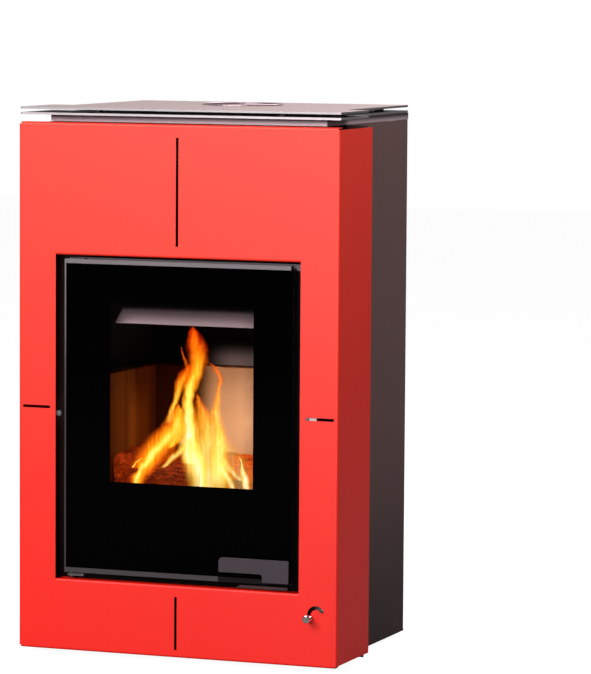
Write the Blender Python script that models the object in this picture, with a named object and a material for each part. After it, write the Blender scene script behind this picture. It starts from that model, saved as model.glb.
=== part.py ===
"""A free-standing wood stove with a folded sheet surround, a glazed door and a motor-driven air inlet.

Units are metres, +Z is up. Inside the functions the front face of the surround is the plane y = 0,
x = 0 is the middle of the stove and z = 0 is the floor. The empty "stove_origin" then moves the whole
stove so that the origin lies under the middle of its bounding box.
"""

import math

import bmesh
import bpy
from mathutils import Matrix, Vector

# General fits
GAP = 0.0003            # between two pieces that touch
RUNNING = 0.0003        # between a shaft and its hole
SHEET = 0.0015          # thin folded sheet
OVERCUT = 0.004         # how far a cutter runs past the face it cuts
LOOSE = 0.0005          # round a plate that drops into a box

# Front surround, folded from one sheet
SURROUND_WIDTH = 0.630
SURROUND_HEIGHT = 0.976
SURROUND_CLEARANCE = 0.010
SURROUND_SHEET = 0.002
SURROUND_DEPTH = 0.169
SURROUND_BEND = 0.004
SURROUND_RETURN = 0.020
BEND_STEPS = 4
ROUND_STEPS = 40        # facets round the flue outlet and the air inlet
POST_WIDTH = 0.074
SILL_HEIGHT = 0.133
HEAD_HEIGHT = 0.2428
OPENING_BOTTOM_RETURN = 0.030
OPENING_TOP_RETURN = 0.020
SLIT_WIDTH = 0.0052
SLIT_FROM_EDGE = 0.0085
SLIT_FROM_TOP = 0.024
SLIT_FROM_BOTTOM = 0.014
SLIT_FROM_OPENING = 0.021
SIDE_SLIT_FROM_OPENING = 0.011
SIDE_SLIT_RISE = 0.318
HALF_SURROUND = SURROUND_WIDTH / 2
SURROUND_TOP = SURROUND_CLEARANCE + SURROUND_HEIGHT
OPENING_HALF_WIDTH = HALF_SURROUND - POST_WIDTH
OPENING_BOTTOM = SURROUND_CLEARANCE + SILL_HEIGHT
OPENING_TOP = SURROUND_TOP - HEAD_HEIGHT
SIDE_SLIT_HEIGHT = OPENING_BOTTOM + SIDE_SLIT_RISE

# Casing
SIDE_STEP = 0.043
BODY_DEPTH = 0.488
CASING_BEND = 0.0025
CASING_LAP = 0.019
CASING_REAR_FLANGE = 0.025
BASE_BOTTOM = 0.005
BASE_SHEET = 0.003
BASE_FRONT = 0.060
FOOT_RADIUS = 0.018
FOOT_INSET = 0.040
FOOT_EDGE = 0.001
REAR_PANEL_MARGIN = 0.004
PLINTH_INSET = 0.030
PLINTH_FRONT = 0.010
PLINTH_BACK = 0.012
HALF_BODY = HALF_SURROUND - SIDE_STEP
CASING_FRONT = SURROUND_DEPTH - CASING_LAP
BASE_TOP = BASE_BOTTOM + BASE_SHEET
REAR_PANEL_Y = BODY_DEPTH - SHEET
CASING_BACK = REAR_PANEL_Y - GAP

# Top
COVER_FRONT = 0.048
COVER_HEIGHT = 0.013
PLATE_THICKNESS = 0.004
PLATE_GAP = 0.006
PLATE_SETBACK = 0.006
PLATE_CORNER = 0.003
SPACER_RADIUS = 0.009
SPACER_FRONT = 0.012
SPACER_REAR = 0.048
SPACER_FRONT_INSET = 0.090
SPACER_REAR_INSET = 0.042
COVER_TOP = SURROUND_TOP + COVER_HEIGHT
LOWER_PLATE_TOP = COVER_TOP + GAP + PLATE_THICKNESS
UPPER_PLATE_BOTTOM = LOWER_PLATE_TOP + PLATE_GAP
STOVE_TOP = UPPER_PLATE_BOTTOM + PLATE_THICKNESS

# Door, set in the opening of the surround
DOOR_SIDE_GAP = 0.016
DOOR_SILL_GAP = 0.013
DOOR_HEAD_GAP = 0.0072
FRAME_DROP = 0.0045
FRAME_Y = 0.0082
FRAME_DEPTH = 0.0118
WINDOW_SIDE_BORDER = 0.075
WINDOW_BOTTOM_BORDER = 0.169
WINDOW_TOP_BORDER = 0.078
GLASS_THICKNESS = 0.004
GLASS_LAP = 0.006
GLASS_TOP_LAP = 0.0035
GLASS_CORNER = 0.0015
GLASS_SETBACK = 0.001
RETAINER_THICKNESS = 0.0015
RETAINER_TOP = 0.0078
RETAINER_BOTTOM = 0.009
RETAINER_LEFT = 0.0050
RETAINER_END = 0.0024
GASKET_WIDTH = 0.020
GASKET_OVERLAP = 0.005
SEAL_WIDTH = 0.010
SEAL_HINGE_INSET = 0.039
SEAL_FREE_INSET = 0.021
SEAL_BOTTOM_INSET = 0.044
SEAL_TOP_INSET = 0.0155
SEAL_CORNER = 0.016
HINGE_INSET = 0.012
HINGE_Y = 0.014
HINGE_PIN_RADIUS = 0.0035
HINGE_PIN_HEAD = 0.0015
HINGE_PIN_REACH = 0.010
HINGE_PIN_CAP = 0.0011
HINGE_THICKNESS = 0.0045
HINGE_WASHER = 0.003
HINGE_LEFT = 0.009
HINGE_RIGHT = 0.026
HINGE_CORNER = 0.004
DOOR_HALF_WIDTH = OPENING_HALF_WIDTH - DOOR_SIDE_GAP
DOOR_BOTTOM = OPENING_BOTTOM + DOOR_SILL_GAP
DOOR_TOP = OPENING_TOP - DOOR_HEAD_GAP
FRAME_TOP = DOOR_TOP - FRAME_DROP
FRAME_BACK = FRAME_Y + FRAME_DEPTH
WINDOW_HALF_WIDTH = DOOR_HALF_WIDTH - WINDOW_SIDE_BORDER
WINDOW_BOTTOM = DOOR_BOTTOM + WINDOW_BOTTOM_BORDER
WINDOW_TOP = DOOR_TOP - WINDOW_TOP_BORDER
SEAL_LEFT = DOOR_HALF_WIDTH - SEAL_HINGE_INSET
SEAL_RIGHT = DOOR_HALF_WIDTH - SEAL_FREE_INSET
SEAL_BOTTOM = DOOR_BOTTOM + SEAL_BOTTOM_INSET
SEAL_TOP = FRAME_TOP - SEAL_TOP_INSET
HINGE_X = HINGE_INSET - DOOR_HALF_WIDTH
GLASS_Y = RETAINER_THICKNESS + GAP
GASKET_Y = GLASS_Y + GLASS_THICKNESS + GAP

# Firebox, behind the door
SHELL_INSET = 0.025
SHELL_BACK_GAP = 0.076
SHELL_RISE = 0.049
SHELL_DROP = 0.086
SHELL_WALL = 0.003
FRONT_PLATE = 0.004
SEAL_CRUSH_GAP = 0.0023
FRONT_PLATE_SIDE_GAP = 0.003
FRONT_PLATE_TOP_GAP = 0.0049
FRONT_PLATE_EAR = 0.001
FRONT_PLATE_WAIST_INSET = 0.003
SWING_NOTCH = 0.0065
MOUTH_MARGIN = 0.010
MOUTH_SILL = 0.025
MOUTH_HEAD = 0.014
HEARTH_DROP = 0.032
HEARTH_THICKNESS = 0.010
HEARTH_LEG = 0.008
BRICK_THICKNESS = 0.030
BRICK_AIR_GAP = 0.007
BACK_BRICK_THICKNESS = 0.030
BACK_BRICK_AIR_GAP = 0.094
BRICK_HEIGHT = 0.242
BRICK_FRONT_GAP = 0.003
BRICK_JOINT = 0.138
BRICK_EDGE = 0.0015
BAFFLE_FRONT = 0.112
BAFFLE_DROP = 0.018
BAFFLE_THICKNESS = 0.025
BAFFLE_CLEARANCE = 0.001
LEDGE_WIDTH = 0.012
LEDGE_THICKNESS = 0.004
RAIL_HEIGHT = 0.0037
RAIL_DEPTH = 0.0015
RAIL_TAB_HEIGHT = 0.0082
RAIL_TAB_INSET = 0.004
SHELL_HALF_WIDTH = DOOR_HALF_WIDTH - SHELL_INSET
SHELL_BACK = BODY_DEPTH - SHELL_BACK_GAP
SHELL_BOTTOM = DOOR_BOTTOM + SHELL_RISE
SHELL_TOP = SURROUND_TOP - SHELL_DROP
SHELL_FLOOR = SHELL_BOTTOM + SHELL_WALL
FRONT_PLATE_Y = FRAME_BACK + SEAL_CRUSH_GAP
FRONT_PLATE_BACK = FRONT_PLATE_Y + FRONT_PLATE
SHELL_FRONT = FRONT_PLATE_BACK + GAP
FRONT_PLATE_RIGHT = OPENING_HALF_WIDTH - FRONT_PLATE_SIDE_GAP
FRONT_PLATE_LEFT = DOOR_HALF_WIDTH + FRONT_PLATE_EAR
FRONT_PLATE_WAIST = SHELL_HALF_WIDTH - FRONT_PLATE_WAIST_INSET
FRONT_PLATE_TOP = OPENING_TOP - FRONT_PLATE_TOP_GAP
MOUTH_HALF_WIDTH = WINDOW_HALF_WIDTH + MOUTH_MARGIN
MOUTH_BOTTOM = WINDOW_BOTTOM - MOUTH_SILL
MOUTH_TOP = WINDOW_TOP + MOUTH_HEAD
HEARTH_BOTTOM = MOUTH_BOTTOM - HEARTH_DROP
HEARTH_TOP = HEARTH_BOTTOM + HEARTH_THICKNESS
BRICK_BOTTOM = HEARTH_TOP + GAP
BRICK_TOP = BRICK_BOTTOM + BRICK_HEIGHT
BRICK_OUTSIDE = SHELL_HALF_WIDTH - SHELL_WALL - BRICK_AIR_GAP
BRICK_FACE_X = BRICK_OUTSIDE - BRICK_THICKNESS
BRICK_FACE_Y = SHELL_BACK - SHELL_WALL - BACK_BRICK_AIR_GAP - BACK_BRICK_THICKNESS
BRICK_JOINT_Y = BRICK_FACE_Y - BRICK_JOINT
BAFFLE_BOTTOM = WINDOW_TOP - BAFFLE_DROP

# Flue outlet
FLUE_RADIUS = 0.075
FLUE_WALL = 0.0025
FLUE_FROM_BACK = 0.090
FLUE_RISE = 0.003
FLUE_FLANGE = 0.020
FLUE_HOLE_CLEARANCE = 0.003
FLUE_RIM_EDGE = 0.0008
FLUE_Y = SHELL_BACK - FLUE_FROM_BACK

# Grate
GRATE_WIDTH = 0.200
GRATE_LENGTH = 0.160
GRATE_FROM_BRICK = 0.100
GRATE_LEDGE = 0.010
GRATE_SEAT = 0.004
GRATE_THICKNESS = 0.0075
GRATE_SLOTS = 9
GRATE_SLOT_WIDTH = 0.010
GRATE_RIM = 0.012
GRATE_Y = BRICK_FACE_Y - GRATE_FROM_BRICK

# Air wash plate behind the glass
WASH_LEFT_INSET = 0.016
WASH_FLANGE = 0.032
WASH_FLANGE_DROP = 0.004
WASH_FOLD_DEPTH = 0.0454
WASH_FOLD_DROP = 0.022
WASH_TIP_DEPTH = 0.0044
WASH_TIP_DROP = 0.052
WASH_LEFT = WINDOW_HALF_WIDTH - WASH_LEFT_INSET
WASH_RIGHT = WINDOW_HALF_WIDTH

# Handle and latch
HANDLE_OVERHANG = 0.001
HANDLE_LENGTH = 0.136
HANDLE_RISE = 0.005
HANDLE_HEIGHT = 0.042
HANDLE_ARM_HEIGHT = 0.027
HANDLE_GRIP_END = 0.051
HANDLE_THICKNESS = 0.004
HANDLE_STAND_OFF = 0.010
HANDLE_LEAD_CORNER = 0.008
HANDLE_CORNER = 0.0015
HANDLE_STEP_CORNER = 0.006
PIVOT_INSET = 0.017
PIVOT_RISE = 0.026
BOSS_RADIUS = 0.008
SPINDLE_RADIUS = 0.0055
TONGUE_THICKNESS = 0.004
TONGUE_WIDTH = 0.010
TONGUE_CLEARANCE = 0.0004
TONGUE_FRAME_GAP = 0.0025
TONGUE_SLOT_LEFT = 0.030
TONGUE_SLOT_RIGHT = 0.010
TONGUE_SLOT_GAP = 0.0006
KEEPER_LENGTH = 0.102
KEEPER_PAST_PIVOT = 0.006
KEEPER_HEIGHT = 0.0055
KEEPER_DEPTH = 0.008
KEEPER_SLANT = 0.010
KEEPER_RISE = 0.0017
HANDLE_RIGHT = DOOR_HALF_WIDTH + HANDLE_OVERHANG
HANDLE_LEFT = HANDLE_RIGHT - HANDLE_LENGTH
HANDLE_BOTTOM = DOOR_BOTTOM + HANDLE_RISE
HANDLE_TOP = HANDLE_BOTTOM + HANDLE_HEIGHT
HANDLE_ARM_BOTTOM = HANDLE_TOP - HANDLE_ARM_HEIGHT
HANDLE_STEP_X = HANDLE_RIGHT - HANDLE_GRIP_END
PIVOT_X = DOOR_HALF_WIDTH - PIVOT_INSET
PIVOT_Z = DOOR_BOTTOM + PIVOT_RISE
KEEPER_RIGHT = PIVOT_X + KEEPER_PAST_PIVOT
KEEPER_LEFT = KEEPER_RIGHT - KEEPER_LENGTH
KEEPER_BOTTOM = OPENING_BOTTOM + KEEPER_RISE

# Air control in the lower right corner of the surround
CONTROL_FROM_OPENING = 0.0337
CONTROL_BELOW_OPENING = 0.0375
CONTROL_RADIUS = 0.0135
CONTROL_SLOT_WIDTH = 0.007
CONTROL_REST_ANGLE = 205.0
CONTROL_TRAVEL = 173.0
CONTROL_STEM_RADIUS = 0.0025
CONTROL_SHAFT_RADIUS = 0.004
CONTROL_SHAFT_COLLAR = 0.0025
CONTROL_COLLAR_LENGTH = 0.004
KNOB_RADIUS = 0.0075
KNOB_REACH = 0.020
KNOB_LENGTH = 0.016
CRANK_Y = 0.018
CRANK_THICKNESS = 0.003
CRANK_HUB = 0.002
CRANK_EYE = 0.001
SHUTTER_RADIUS = 0.036
SHUTTER_THICKNESS = 0.003
SHUTTER_HALF_ANGLE = 40.0
SHUTTER_HUB = 0.005
VALVE_PLATE_DEPTH = 0.0220
VALVE_PLATE_THICKNESS = 0.003
VALVE_HOLE_RADIUS = 0.009
VALVE_HOLE_OFFSET = 0.0247
VALVE_PLATE_RIGHT = 0.025
VALVE_PLATE_MARGIN = 0.005
VALVE_PLATE_CORNER = 0.004
CONTROL_X = OPENING_HALF_WIDTH + CONTROL_FROM_OPENING
CONTROL_Z = OPENING_BOTTOM - CONTROL_BELOW_OPENING
VALVE_PLATE_Y = CRANK_Y + CRANK_THICKNESS + VALVE_PLATE_DEPTH

# Combustion air: inlet collar, throttle flap and servo on the back
COLLAR_RADIUS = 0.050
COLLAR_WALL = 0.002
COLLAR_REACH = 0.068
COLLAR_INNER = 0.018
COLLAR_BEAD = 0.001
COLLAR_EDGE = 0.0005
FLAP_FROM_PANEL = 0.017
FLAP_CLEARANCE = 0.0006
FLAP_THICKNESS = 0.0015
FLAP_SHAFT_RADIUS = 0.003
SHAFT_CLIP_WIDTH = 0.002
SHAFT_END = 0.005
SERVICE_HALF_WIDTH = 0.175
SERVICE_HALF_HEIGHT = 0.075
SERVICE_SHEET = 0.002
SERVICE_CORNER = 0.004
VENT_WIDTH = 0.025
VENT_LAP = 0.012
VENT_SLOT_LENGTH = 0.009
VENT_SLOT_WIDTH = 0.0028
VENT_SLOT_PITCH = 0.0100
VENT_SLOT_TILT = 35.0
STUD_INSET = 0.040
STUD_RADIUS = 0.004
STUD_END = 0.003
NUT_CORNER_RADIUS = 0.0075
NUT_HEIGHT = 0.008
BRACKET_FROM_COLLAR = 0.022
BRACKET_SHEET = 0.002
BRACKET_WIDTH = 0.030
BRACKET_UP_INSET = 0.006
BRACKET_DOWN_INSET = 0.026
BRACKET_BEND = 0.004
SERVO_LENGTH = 0.040
SERVO_WIDTH = 0.020
SERVO_HEIGHT = 0.036
SERVO_LUG_SPAN = 0.054
SERVO_OUTPUT_OFFSET = 0.010
SERVO_LUG = 0.0025
SERVO_LUG_INSET = 0.001
SERVO_EDGE = 0.0012
SERVO_BOSS_RADIUS = 0.006
SERVO_BOSS_PROUD = 0.0008
SERVO_BOSS_CLEARANCE = 0.001
HORN_THICKNESS = 0.010
HORN_RADIUS = 0.0085
HORN_TIP_RADIUS = 0.005
HORN_TIP_Y = 0.004
HORN_TIP_Z = 0.015
HORN_OVERLAP = 0.001
LEAD_RADIUS = 0.0015
LEAD_BEND = 0.013
LEAD_Z = 0.062
LEAD_FROM_END = 0.008
GLAND_RADIUS = 0.008
GLAND_HEIGHT = 0.0059
AIR_BOX_LEFT = 0.155
AIR_BOX_MARGIN = 0.010
AIR_OUTLET_HALF_WIDTH = 0.060
AIR_OUTLET_BOTTOM = 0.007
AIR_OUTLET_TOP = 0.013
AIR_PORT_INSET = 0.020
AIR_PORT_MARGIN = 0.008
DUCT_FROM_SHELL = 0.015
DUCT_FROM_CASING = 0.009
DUCT_BELOW_CONTROL = 0.0255
DUCT_ABOVE_CONTROL = 0.0945
DUCT_FROM_BACK = 0.006
COLLAR_Z = SHELL_BOTTOM
COLLAR_RIM = BODY_DEPTH + COLLAR_REACH
FLAP_Y = BODY_DEPTH + FLAP_FROM_PANEL
SERVICE_Y = REAR_PANEL_Y
SERVICE_BACK = SERVICE_Y + SERVICE_SHEET
VENT_Y = REAR_PANEL_Y - GAP - SHEET
STUD_X = SERVICE_HALF_WIDTH - STUD_INSET
BRACKET_WEB_X = COLLAR_RADIUS + BRACKET_FROM_COLLAR
BRACKET_UP = COLLAR_RADIUS - BRACKET_UP_INSET
BRACKET_DOWN = COLLAR_RADIUS - BRACKET_DOWN_INSET
AIR_BOX_BACK = VENT_Y - GAP
AIR_BOX_HALF_HEIGHT = COLLAR_RADIUS + AIR_BOX_MARGIN
DUCT_LEFT = SHELL_HALF_WIDTH + DUCT_FROM_SHELL
DUCT_RIGHT = HALF_BODY - DUCT_FROM_CASING
DUCT_BOTTOM = CONTROL_Z - DUCT_BELOW_CONTROL
DUCT_TOP = CONTROL_Z + DUCT_ABOVE_CONTROL
DUCT_FRONT = VALVE_PLATE_Y + VALVE_PLATE_THICKNESS + GAP
DUCT_BACK = BODY_DEPTH - DUCT_FROM_BACK
AIR_BOX_RIGHT = DUCT_LEFT - GAP
VALVE_HOLE_X = CONTROL_X - VALVE_HOLE_OFFSET

# Ash pan
PAN_FROM_MOUTH = 0.035
PAN_SETBACK = 0.0017
PAN_BACK_GAP = 0.032
PAN_HEIGHT = 0.045
PAN_FLOOR_GAP = 0.0005
PAN_RUNNING = 0.005
PAN_GRIP_WIDTH = 0.060
PAN_GRIP_HEIGHT = 0.014
PAN_GRIP_DROP = 0.016
PAN_HALF_WIDTH = MOUTH_HALF_WIDTH - PAN_FROM_MOUTH
PAN_FRONT = FRONT_PLATE_Y + PAN_SETBACK
PAN_BACK = SHELL_BACK - PAN_BACK_GAP
PAN_BOTTOM = SHELL_FLOOR + PAN_FLOOR_GAP
LEG_X = PAN_HALF_WIDTH + PAN_RUNNING * 2

# Fixings of the surround, seen beside the door and through the right slit
CLIP_LEFT_FROM_OPENING = 0.0025
CLIP_LEFT_DROP = 0.013
CLIP_RIGHT_FROM_OPENING = 0.009
CLIP_RIGHT_DROP = 0.002
CLIP_STAND_OFF = 0.020
CLIP_LEG_GAP = 0.0025
CLIP_FOOT = 0.014
CLIP_HALF_HEIGHT = 0.007
DOME_RADIUS = 0.006

# Axes and the place of the whole stove
FRONT_Y = -(COLLAR_RIM - KNOB_REACH) / 2
DOOR_AXIS = Vector((HINGE_X, HINGE_Y, DOOR_BOTTOM))
HANDLE_AXIS = Vector((PIVOT_X, 0.0, PIVOT_Z))
CONTROL_AXIS = Vector((CONTROL_X, 0.0, CONTROL_Z))
FLAP_AXIS = Vector((0.0, FLAP_Y, COLLAR_Z))
FIXED = Vector((0.0, 0.0, 0.0))


# Scene and materials

def clear_scene():
    for existing in list(bpy.data.objects):
        bpy.data.objects.remove(existing, do_unlink=True)


def make_material(name, colour, roughness, metallic, alpha=1.0):
    made = bpy.data.materials.new(name)
    made.use_nodes = True
    shader = made.node_tree.nodes["Principled BSDF"]
    shader.inputs["Base Color"].default_value = (*colour, 1.0)
    shader.inputs["Roughness"].default_value = roughness
    shader.inputs["Metallic"].default_value = metallic
    shader.inputs["Alpha"].default_value = alpha
    made.diffuse_color = (*colour, alpha)
    return made


def make_origin():
    origin = bpy.data.objects.new("stove_origin", None)
    origin.location = (0.0, FRONT_Y, 0.0)
    bpy.context.scene.collection.objects.link(origin)
    return origin


def add_object(name, data, origin, finish):
    """Puts a mesh or curve, whose points are in stove coordinates, on its own origin."""
    data.transform(Matrix.Translation(-origin))
    made = bpy.data.objects.new(name, data)
    made.location = origin
    made.parent = STOVE
    bpy.context.scene.collection.objects.link(made)
    if finish is not None:
        data.materials.append(FINISHES[finish])
    return made


def add_piece(name, bm, finish, origin=FIXED, smooth=False):
    mesh = bpy.data.meshes.new(name)
    bm.to_mesh(mesh)
    bm.free()
    if smooth:
        mesh.shade_smooth()
        mesh.set_sharp_from_angle(angle=math.radians(35))
    return add_object(name, mesh, origin, finish)


def add_helper(name, bm):
    """A shape that only cuts, or is joined to, another piece."""
    helper = add_piece(name, bm, None)
    helper.hide_render = True
    helper.display_type = "WIRE"
    return helper


def combine(piece, operation, helper):
    step = piece.modifiers.new(f"{operation.lower()} {helper.name}", "BOOLEAN")
    step.operation = operation
    step.object = helper


def cut(piece, name, bm):
    combine(piece, "DIFFERENCE", add_helper(f"cut_{piece.name}_{name}", bm))


def join(piece, name, bm):
    combine(piece, "UNION", add_helper(f"add_{piece.name}_{name}", bm))


def thicken(piece, thickness):
    """Gives a folded surface its sheet thickness, towards its inner side."""
    step = piece.modifiers.new("sheet", "SOLIDIFY")
    step.solidify_mode = "NON_MANIFOLD"
    step.nonmanifold_thickness_mode = "CONSTRAINTS"
    step.thickness = thickness
    step.offset = -1.0


def bevel(piece, width, segments=1, angle=30.0):
    step = piece.modifiers.new("edges", "BEVEL")
    step.width = width
    step.segments = segments
    step.limit_method = "ANGLE"
    step.angle_limit = math.radians(angle)
    step.harden_normals = False


# Outlines, as lists of points in a plane

def rectangle(low_a, high_a, low_b, high_b):
    return [(low_a, low_b), (high_a, low_b), (high_a, high_b), (low_a, high_b)]


def arc(centre, radius, start, end, steps):
    """Points on an arc, with angles in degrees and both ends included."""
    turn = math.radians(end - start) / steps
    first = math.radians(start)
    return [
        (centre[0] + radius * math.cos(first + turn * i), centre[1] + radius * math.sin(first + turn * i))
        for i in range(steps + 1)
    ]


def circle(centre, radius, steps=32):
    return arc(centre, radius, 0.0, 360.0, steps)[:-1]


def rounded_rectangle(low_a, high_a, low_b, high_b, radius, steps=4):
    corners = (
        ((high_a - radius, high_b - radius), 0.0),
        ((low_a + radius, high_b - radius), 90.0),
        ((low_a + radius, low_b + radius), 180.0),
        ((high_a - radius, low_b + radius), 270.0),
    )
    points = []
    for centre, start in corners:
        points += arc(centre, radius, start, start + 90.0, steps)
    return points


def straight_slot(centre, length, width, tilt, steps=3):
    """A slot with round ends; the tilt is in degrees from the first axis."""
    reach = (length - width) / 2
    direction = (math.cos(math.radians(tilt)), math.sin(math.radians(tilt)))
    ends = ((1.0, tilt - 90.0), (-1.0, tilt + 90.0))
    points = []
    for sign, start in ends:
        middle = (centre[0] + sign * reach * direction[0], centre[1] + sign * reach * direction[1])
        points += arc(middle, width / 2, start, start + 180.0, steps)
    return points


def curved_slot(centre, radius, width, start, end, steps=14, cap_steps=5):
    """A slot along an arc from a start angle up to an end angle, with round ends."""
    half = width / 2
    first = arc(centre, radius, start, end, 1)[0]
    last = arc(centre, radius, start, end, 1)[1]
    return (
        arc(centre, radius + half, start, end, steps)
        + arc(last, half, end, end + 180.0, cap_steps)[1:-1]
        + arc(centre, radius - half, end, start, steps)
        + arc(first, half, start + 180.0, start + 360.0, cap_steps)[1:-1]
    )


def teardrop(centre, radius, tip, tip_radius, steps=8):
    """Two circles of different size and the tangents between them."""
    along = Vector(tip) - Vector(centre)
    heading = math.degrees(math.atan2(along.y, along.x))
    spread = math.degrees(math.acos((radius - tip_radius) / along.length))
    big = arc(centre, radius, heading + spread, heading + 360.0 - spread, steps)
    small = arc(tip, tip_radius, heading - spread, heading + spread, max(2, steps // 2))
    return big + small


# Places for a plane outline

def facing_front(y):
    return lambda a, b: Vector((a, y, b))


def facing_up(z):
    return lambda a, b: Vector((a, b, z))


def facing_side(x):
    return lambda a, b: Vector((x, a, b))


# Solids

def flat_face(bm, outer, holes, place):
    """Fills the area between an outer outline and its holes."""
    edges = []
    for outline in [outer, *holes]:
        corners = [bm.verts.new(place(a, b)) for a, b in outline]
        for index, corner in enumerate(corners):
            edges.append(bm.edges.new((corners[index - 1], corner)))
    bmesh.ops.triangle_fill(bm, use_beauty=True, use_dissolve=False, edges=edges)


def plate(outer, holes, place, thickness):
    """A flat plate; the thickness is a vector from the drawn face to the other one."""
    bm = bmesh.new()
    flat_face(bm, outer, holes, place)
    pushed = bmesh.ops.extrude_face_region(bm, geom=bm.faces[:] + bm.edges[:] + bm.verts[:])
    moved = [item for item in pushed["geom"] if isinstance(item, bmesh.types.BMVert)]
    bmesh.ops.translate(bm, vec=Vector(thickness), verts=moved)
    bmesh.ops.recalc_face_normals(bm, faces=bm.faces[:])
    return bm


def block(x, y, z):
    """A box from three (low, high) pairs."""
    bm = bmesh.new()
    size = Vector((x[1] - x[0], y[1] - y[0], z[1] - z[0]))
    middle = Vector((x[0] + x[1], y[0] + y[1], z[0] + z[1])) / 2
    bmesh.ops.create_cube(bm, size=1.0, matrix=Matrix.Translation(middle) @ Matrix.Diagonal((*size, 1.0)))
    return bm


def turned(profile, place, axis="Z", steps=32):
    """Turns (radius, height) points about an axis through place. A ring's profile closes on itself."""
    bm = bmesh.new()
    points = [bm.verts.new((radius, 0.0, height)) for radius, height in profile]
    edges = [bm.edges.new(pair) for pair in zip(points, points[1:])]
    if profile[0][0] > 0.0 and profile[-1][0] > 0.0:
        edges.append(bm.edges.new((points[-1], points[0])))
    bmesh.ops.spin(bm, geom=points + edges, cent=(0.0, 0.0, 0.0), axis=(0.0, 0.0, 1.0),
                   dvec=(0.0, 0.0, 0.0), angle=math.tau, steps=steps, use_merge=True,
                   use_normal_flip=False, use_duplicate=False)
    bmesh.ops.remove_doubles(bm, verts=bm.verts[:], dist=0.000001)
    bmesh.ops.recalc_face_normals(bm, faces=bm.faces[:])
    turns = {
        "Z": Matrix.Identity(4),
        "X": Matrix.Rotation(math.radians(90), 4, "Y"),
        "Y": Matrix.Rotation(math.radians(-90), 4, "X"),
    }
    bmesh.ops.transform(bm, matrix=Matrix.Translation(place) @ turns[axis], verts=bm.verts[:])
    return bm


def rod(radius, low, high, place, axis, steps=24):
    return turned([(0.0, low), (radius, low), (radius, high), (0.0, high)], place, axis, steps)


def boundary(bm, test):
    """The open edges whose two ends both pass the test."""
    return [e for e in bm.edges if e.is_boundary and all(test(v.co) for v in e.verts)]


def fold(bm, edges, steps):
    """Draws open edges out along a list of vectors, one strip of sheet for each vector."""
    for step in steps:
        grown = bmesh.ops.extrude_edge_only(bm, edges=edges)["geom"]
        moved = [item for item in grown if isinstance(item, bmesh.types.BMVert)]
        bmesh.ops.translate(bm, vec=step, verts=moved)
        new = set(moved)
        edges = [e for e in grown if isinstance(e, bmesh.types.BMEdge) and all(v in new for v in e.verts)]
    return edges


def bend_steps(radius, out, back, count=BEND_STEPS):
    """Vectors along a quarter bend that leaves along out and ends along back."""
    steps = []
    for index in range(count):
        first = math.radians(90.0 * index / count)
        second = math.radians(90.0 * (index + 1) / count)
        steps.append(
            Vector(out) * radius * (math.sin(second) - math.sin(first))
            + Vector(back) * radius * (math.cos(first) - math.cos(second))
        )
    return steps


def face_outwards(bm, direction):
    """Makes the faces agree and turns the largest of them towards the direction."""
    bmesh.ops.recalc_face_normals(bm, faces=bm.faces[:])
    bm.normal_update()
    largest = max(bm.faces, key=lambda face: face.calc_area())
    if largest.normal.dot(Vector(direction)) < 0.0:
        bmesh.ops.reverse_faces(bm, faces=bm.faces[:])


def near(value, target, slack=0.00001):
    return abs(value - target) < slack


def bent_strip(points, place, width, radius, steps=BEND_STEPS):
    """A surface strip along a polyline with round bends; the width is a vector."""
    path = [Vector(points[0])]
    for before, corner, after in zip(points, points[1:], points[2:]):
        corner = Vector(corner)
        into = (corner - Vector(before)).normalized()
        out = (Vector(after) - corner).normalized()
        turn = into.angle(out)
        reach = radius * math.tan(turn / 2)
        start = corner - into * reach
        end = corner + out * reach
        for index in range(steps + 1):
            share = index / steps
            path.append(start.lerp(corner, share).lerp(corner.lerp(end, share), share))
    path.append(Vector(points[-1]))
    bm = bmesh.new()
    line = [bm.verts.new(place(p.x, p.y)) for p in path]
    edges = [bm.edges.new(pair) for pair in zip(line, line[1:])]
    fold(bm, edges, [Vector(width)])
    return bm


# Front surround

def surround_cut_outs():
    """The two upright slits, the two level ones and the curved slot of the air control."""
    face_left = HALF_SURROUND - SLIT_FROM_EDGE
    half = SLIT_WIDTH / 2
    top_slit = rectangle(-half, half, OPENING_TOP + SLIT_FROM_OPENING, SURROUND_TOP - SLIT_FROM_TOP)
    bottom_slit = rectangle(-half, half, SURROUND_CLEARANCE + SLIT_FROM_BOTTOM,
                            OPENING_BOTTOM - SLIT_FROM_OPENING)
    inner = OPENING_HALF_WIDTH + SIDE_SLIT_FROM_OPENING
    low, high = SIDE_SLIT_HEIGHT - half, SIDE_SLIT_HEIGHT + half
    start = CONTROL_REST_ANGLE - CONTROL_TRAVEL
    return [
        top_slit,
        bottom_slit,
        rectangle(-face_left, -inner, low, high),
        rectangle(inner, face_left, low, high),
        curved_slot((CONTROL_X, CONTROL_Z), CONTROL_RADIUS, CONTROL_SLOT_WIDTH, start, CONTROL_REST_ANGLE),
    ]


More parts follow.
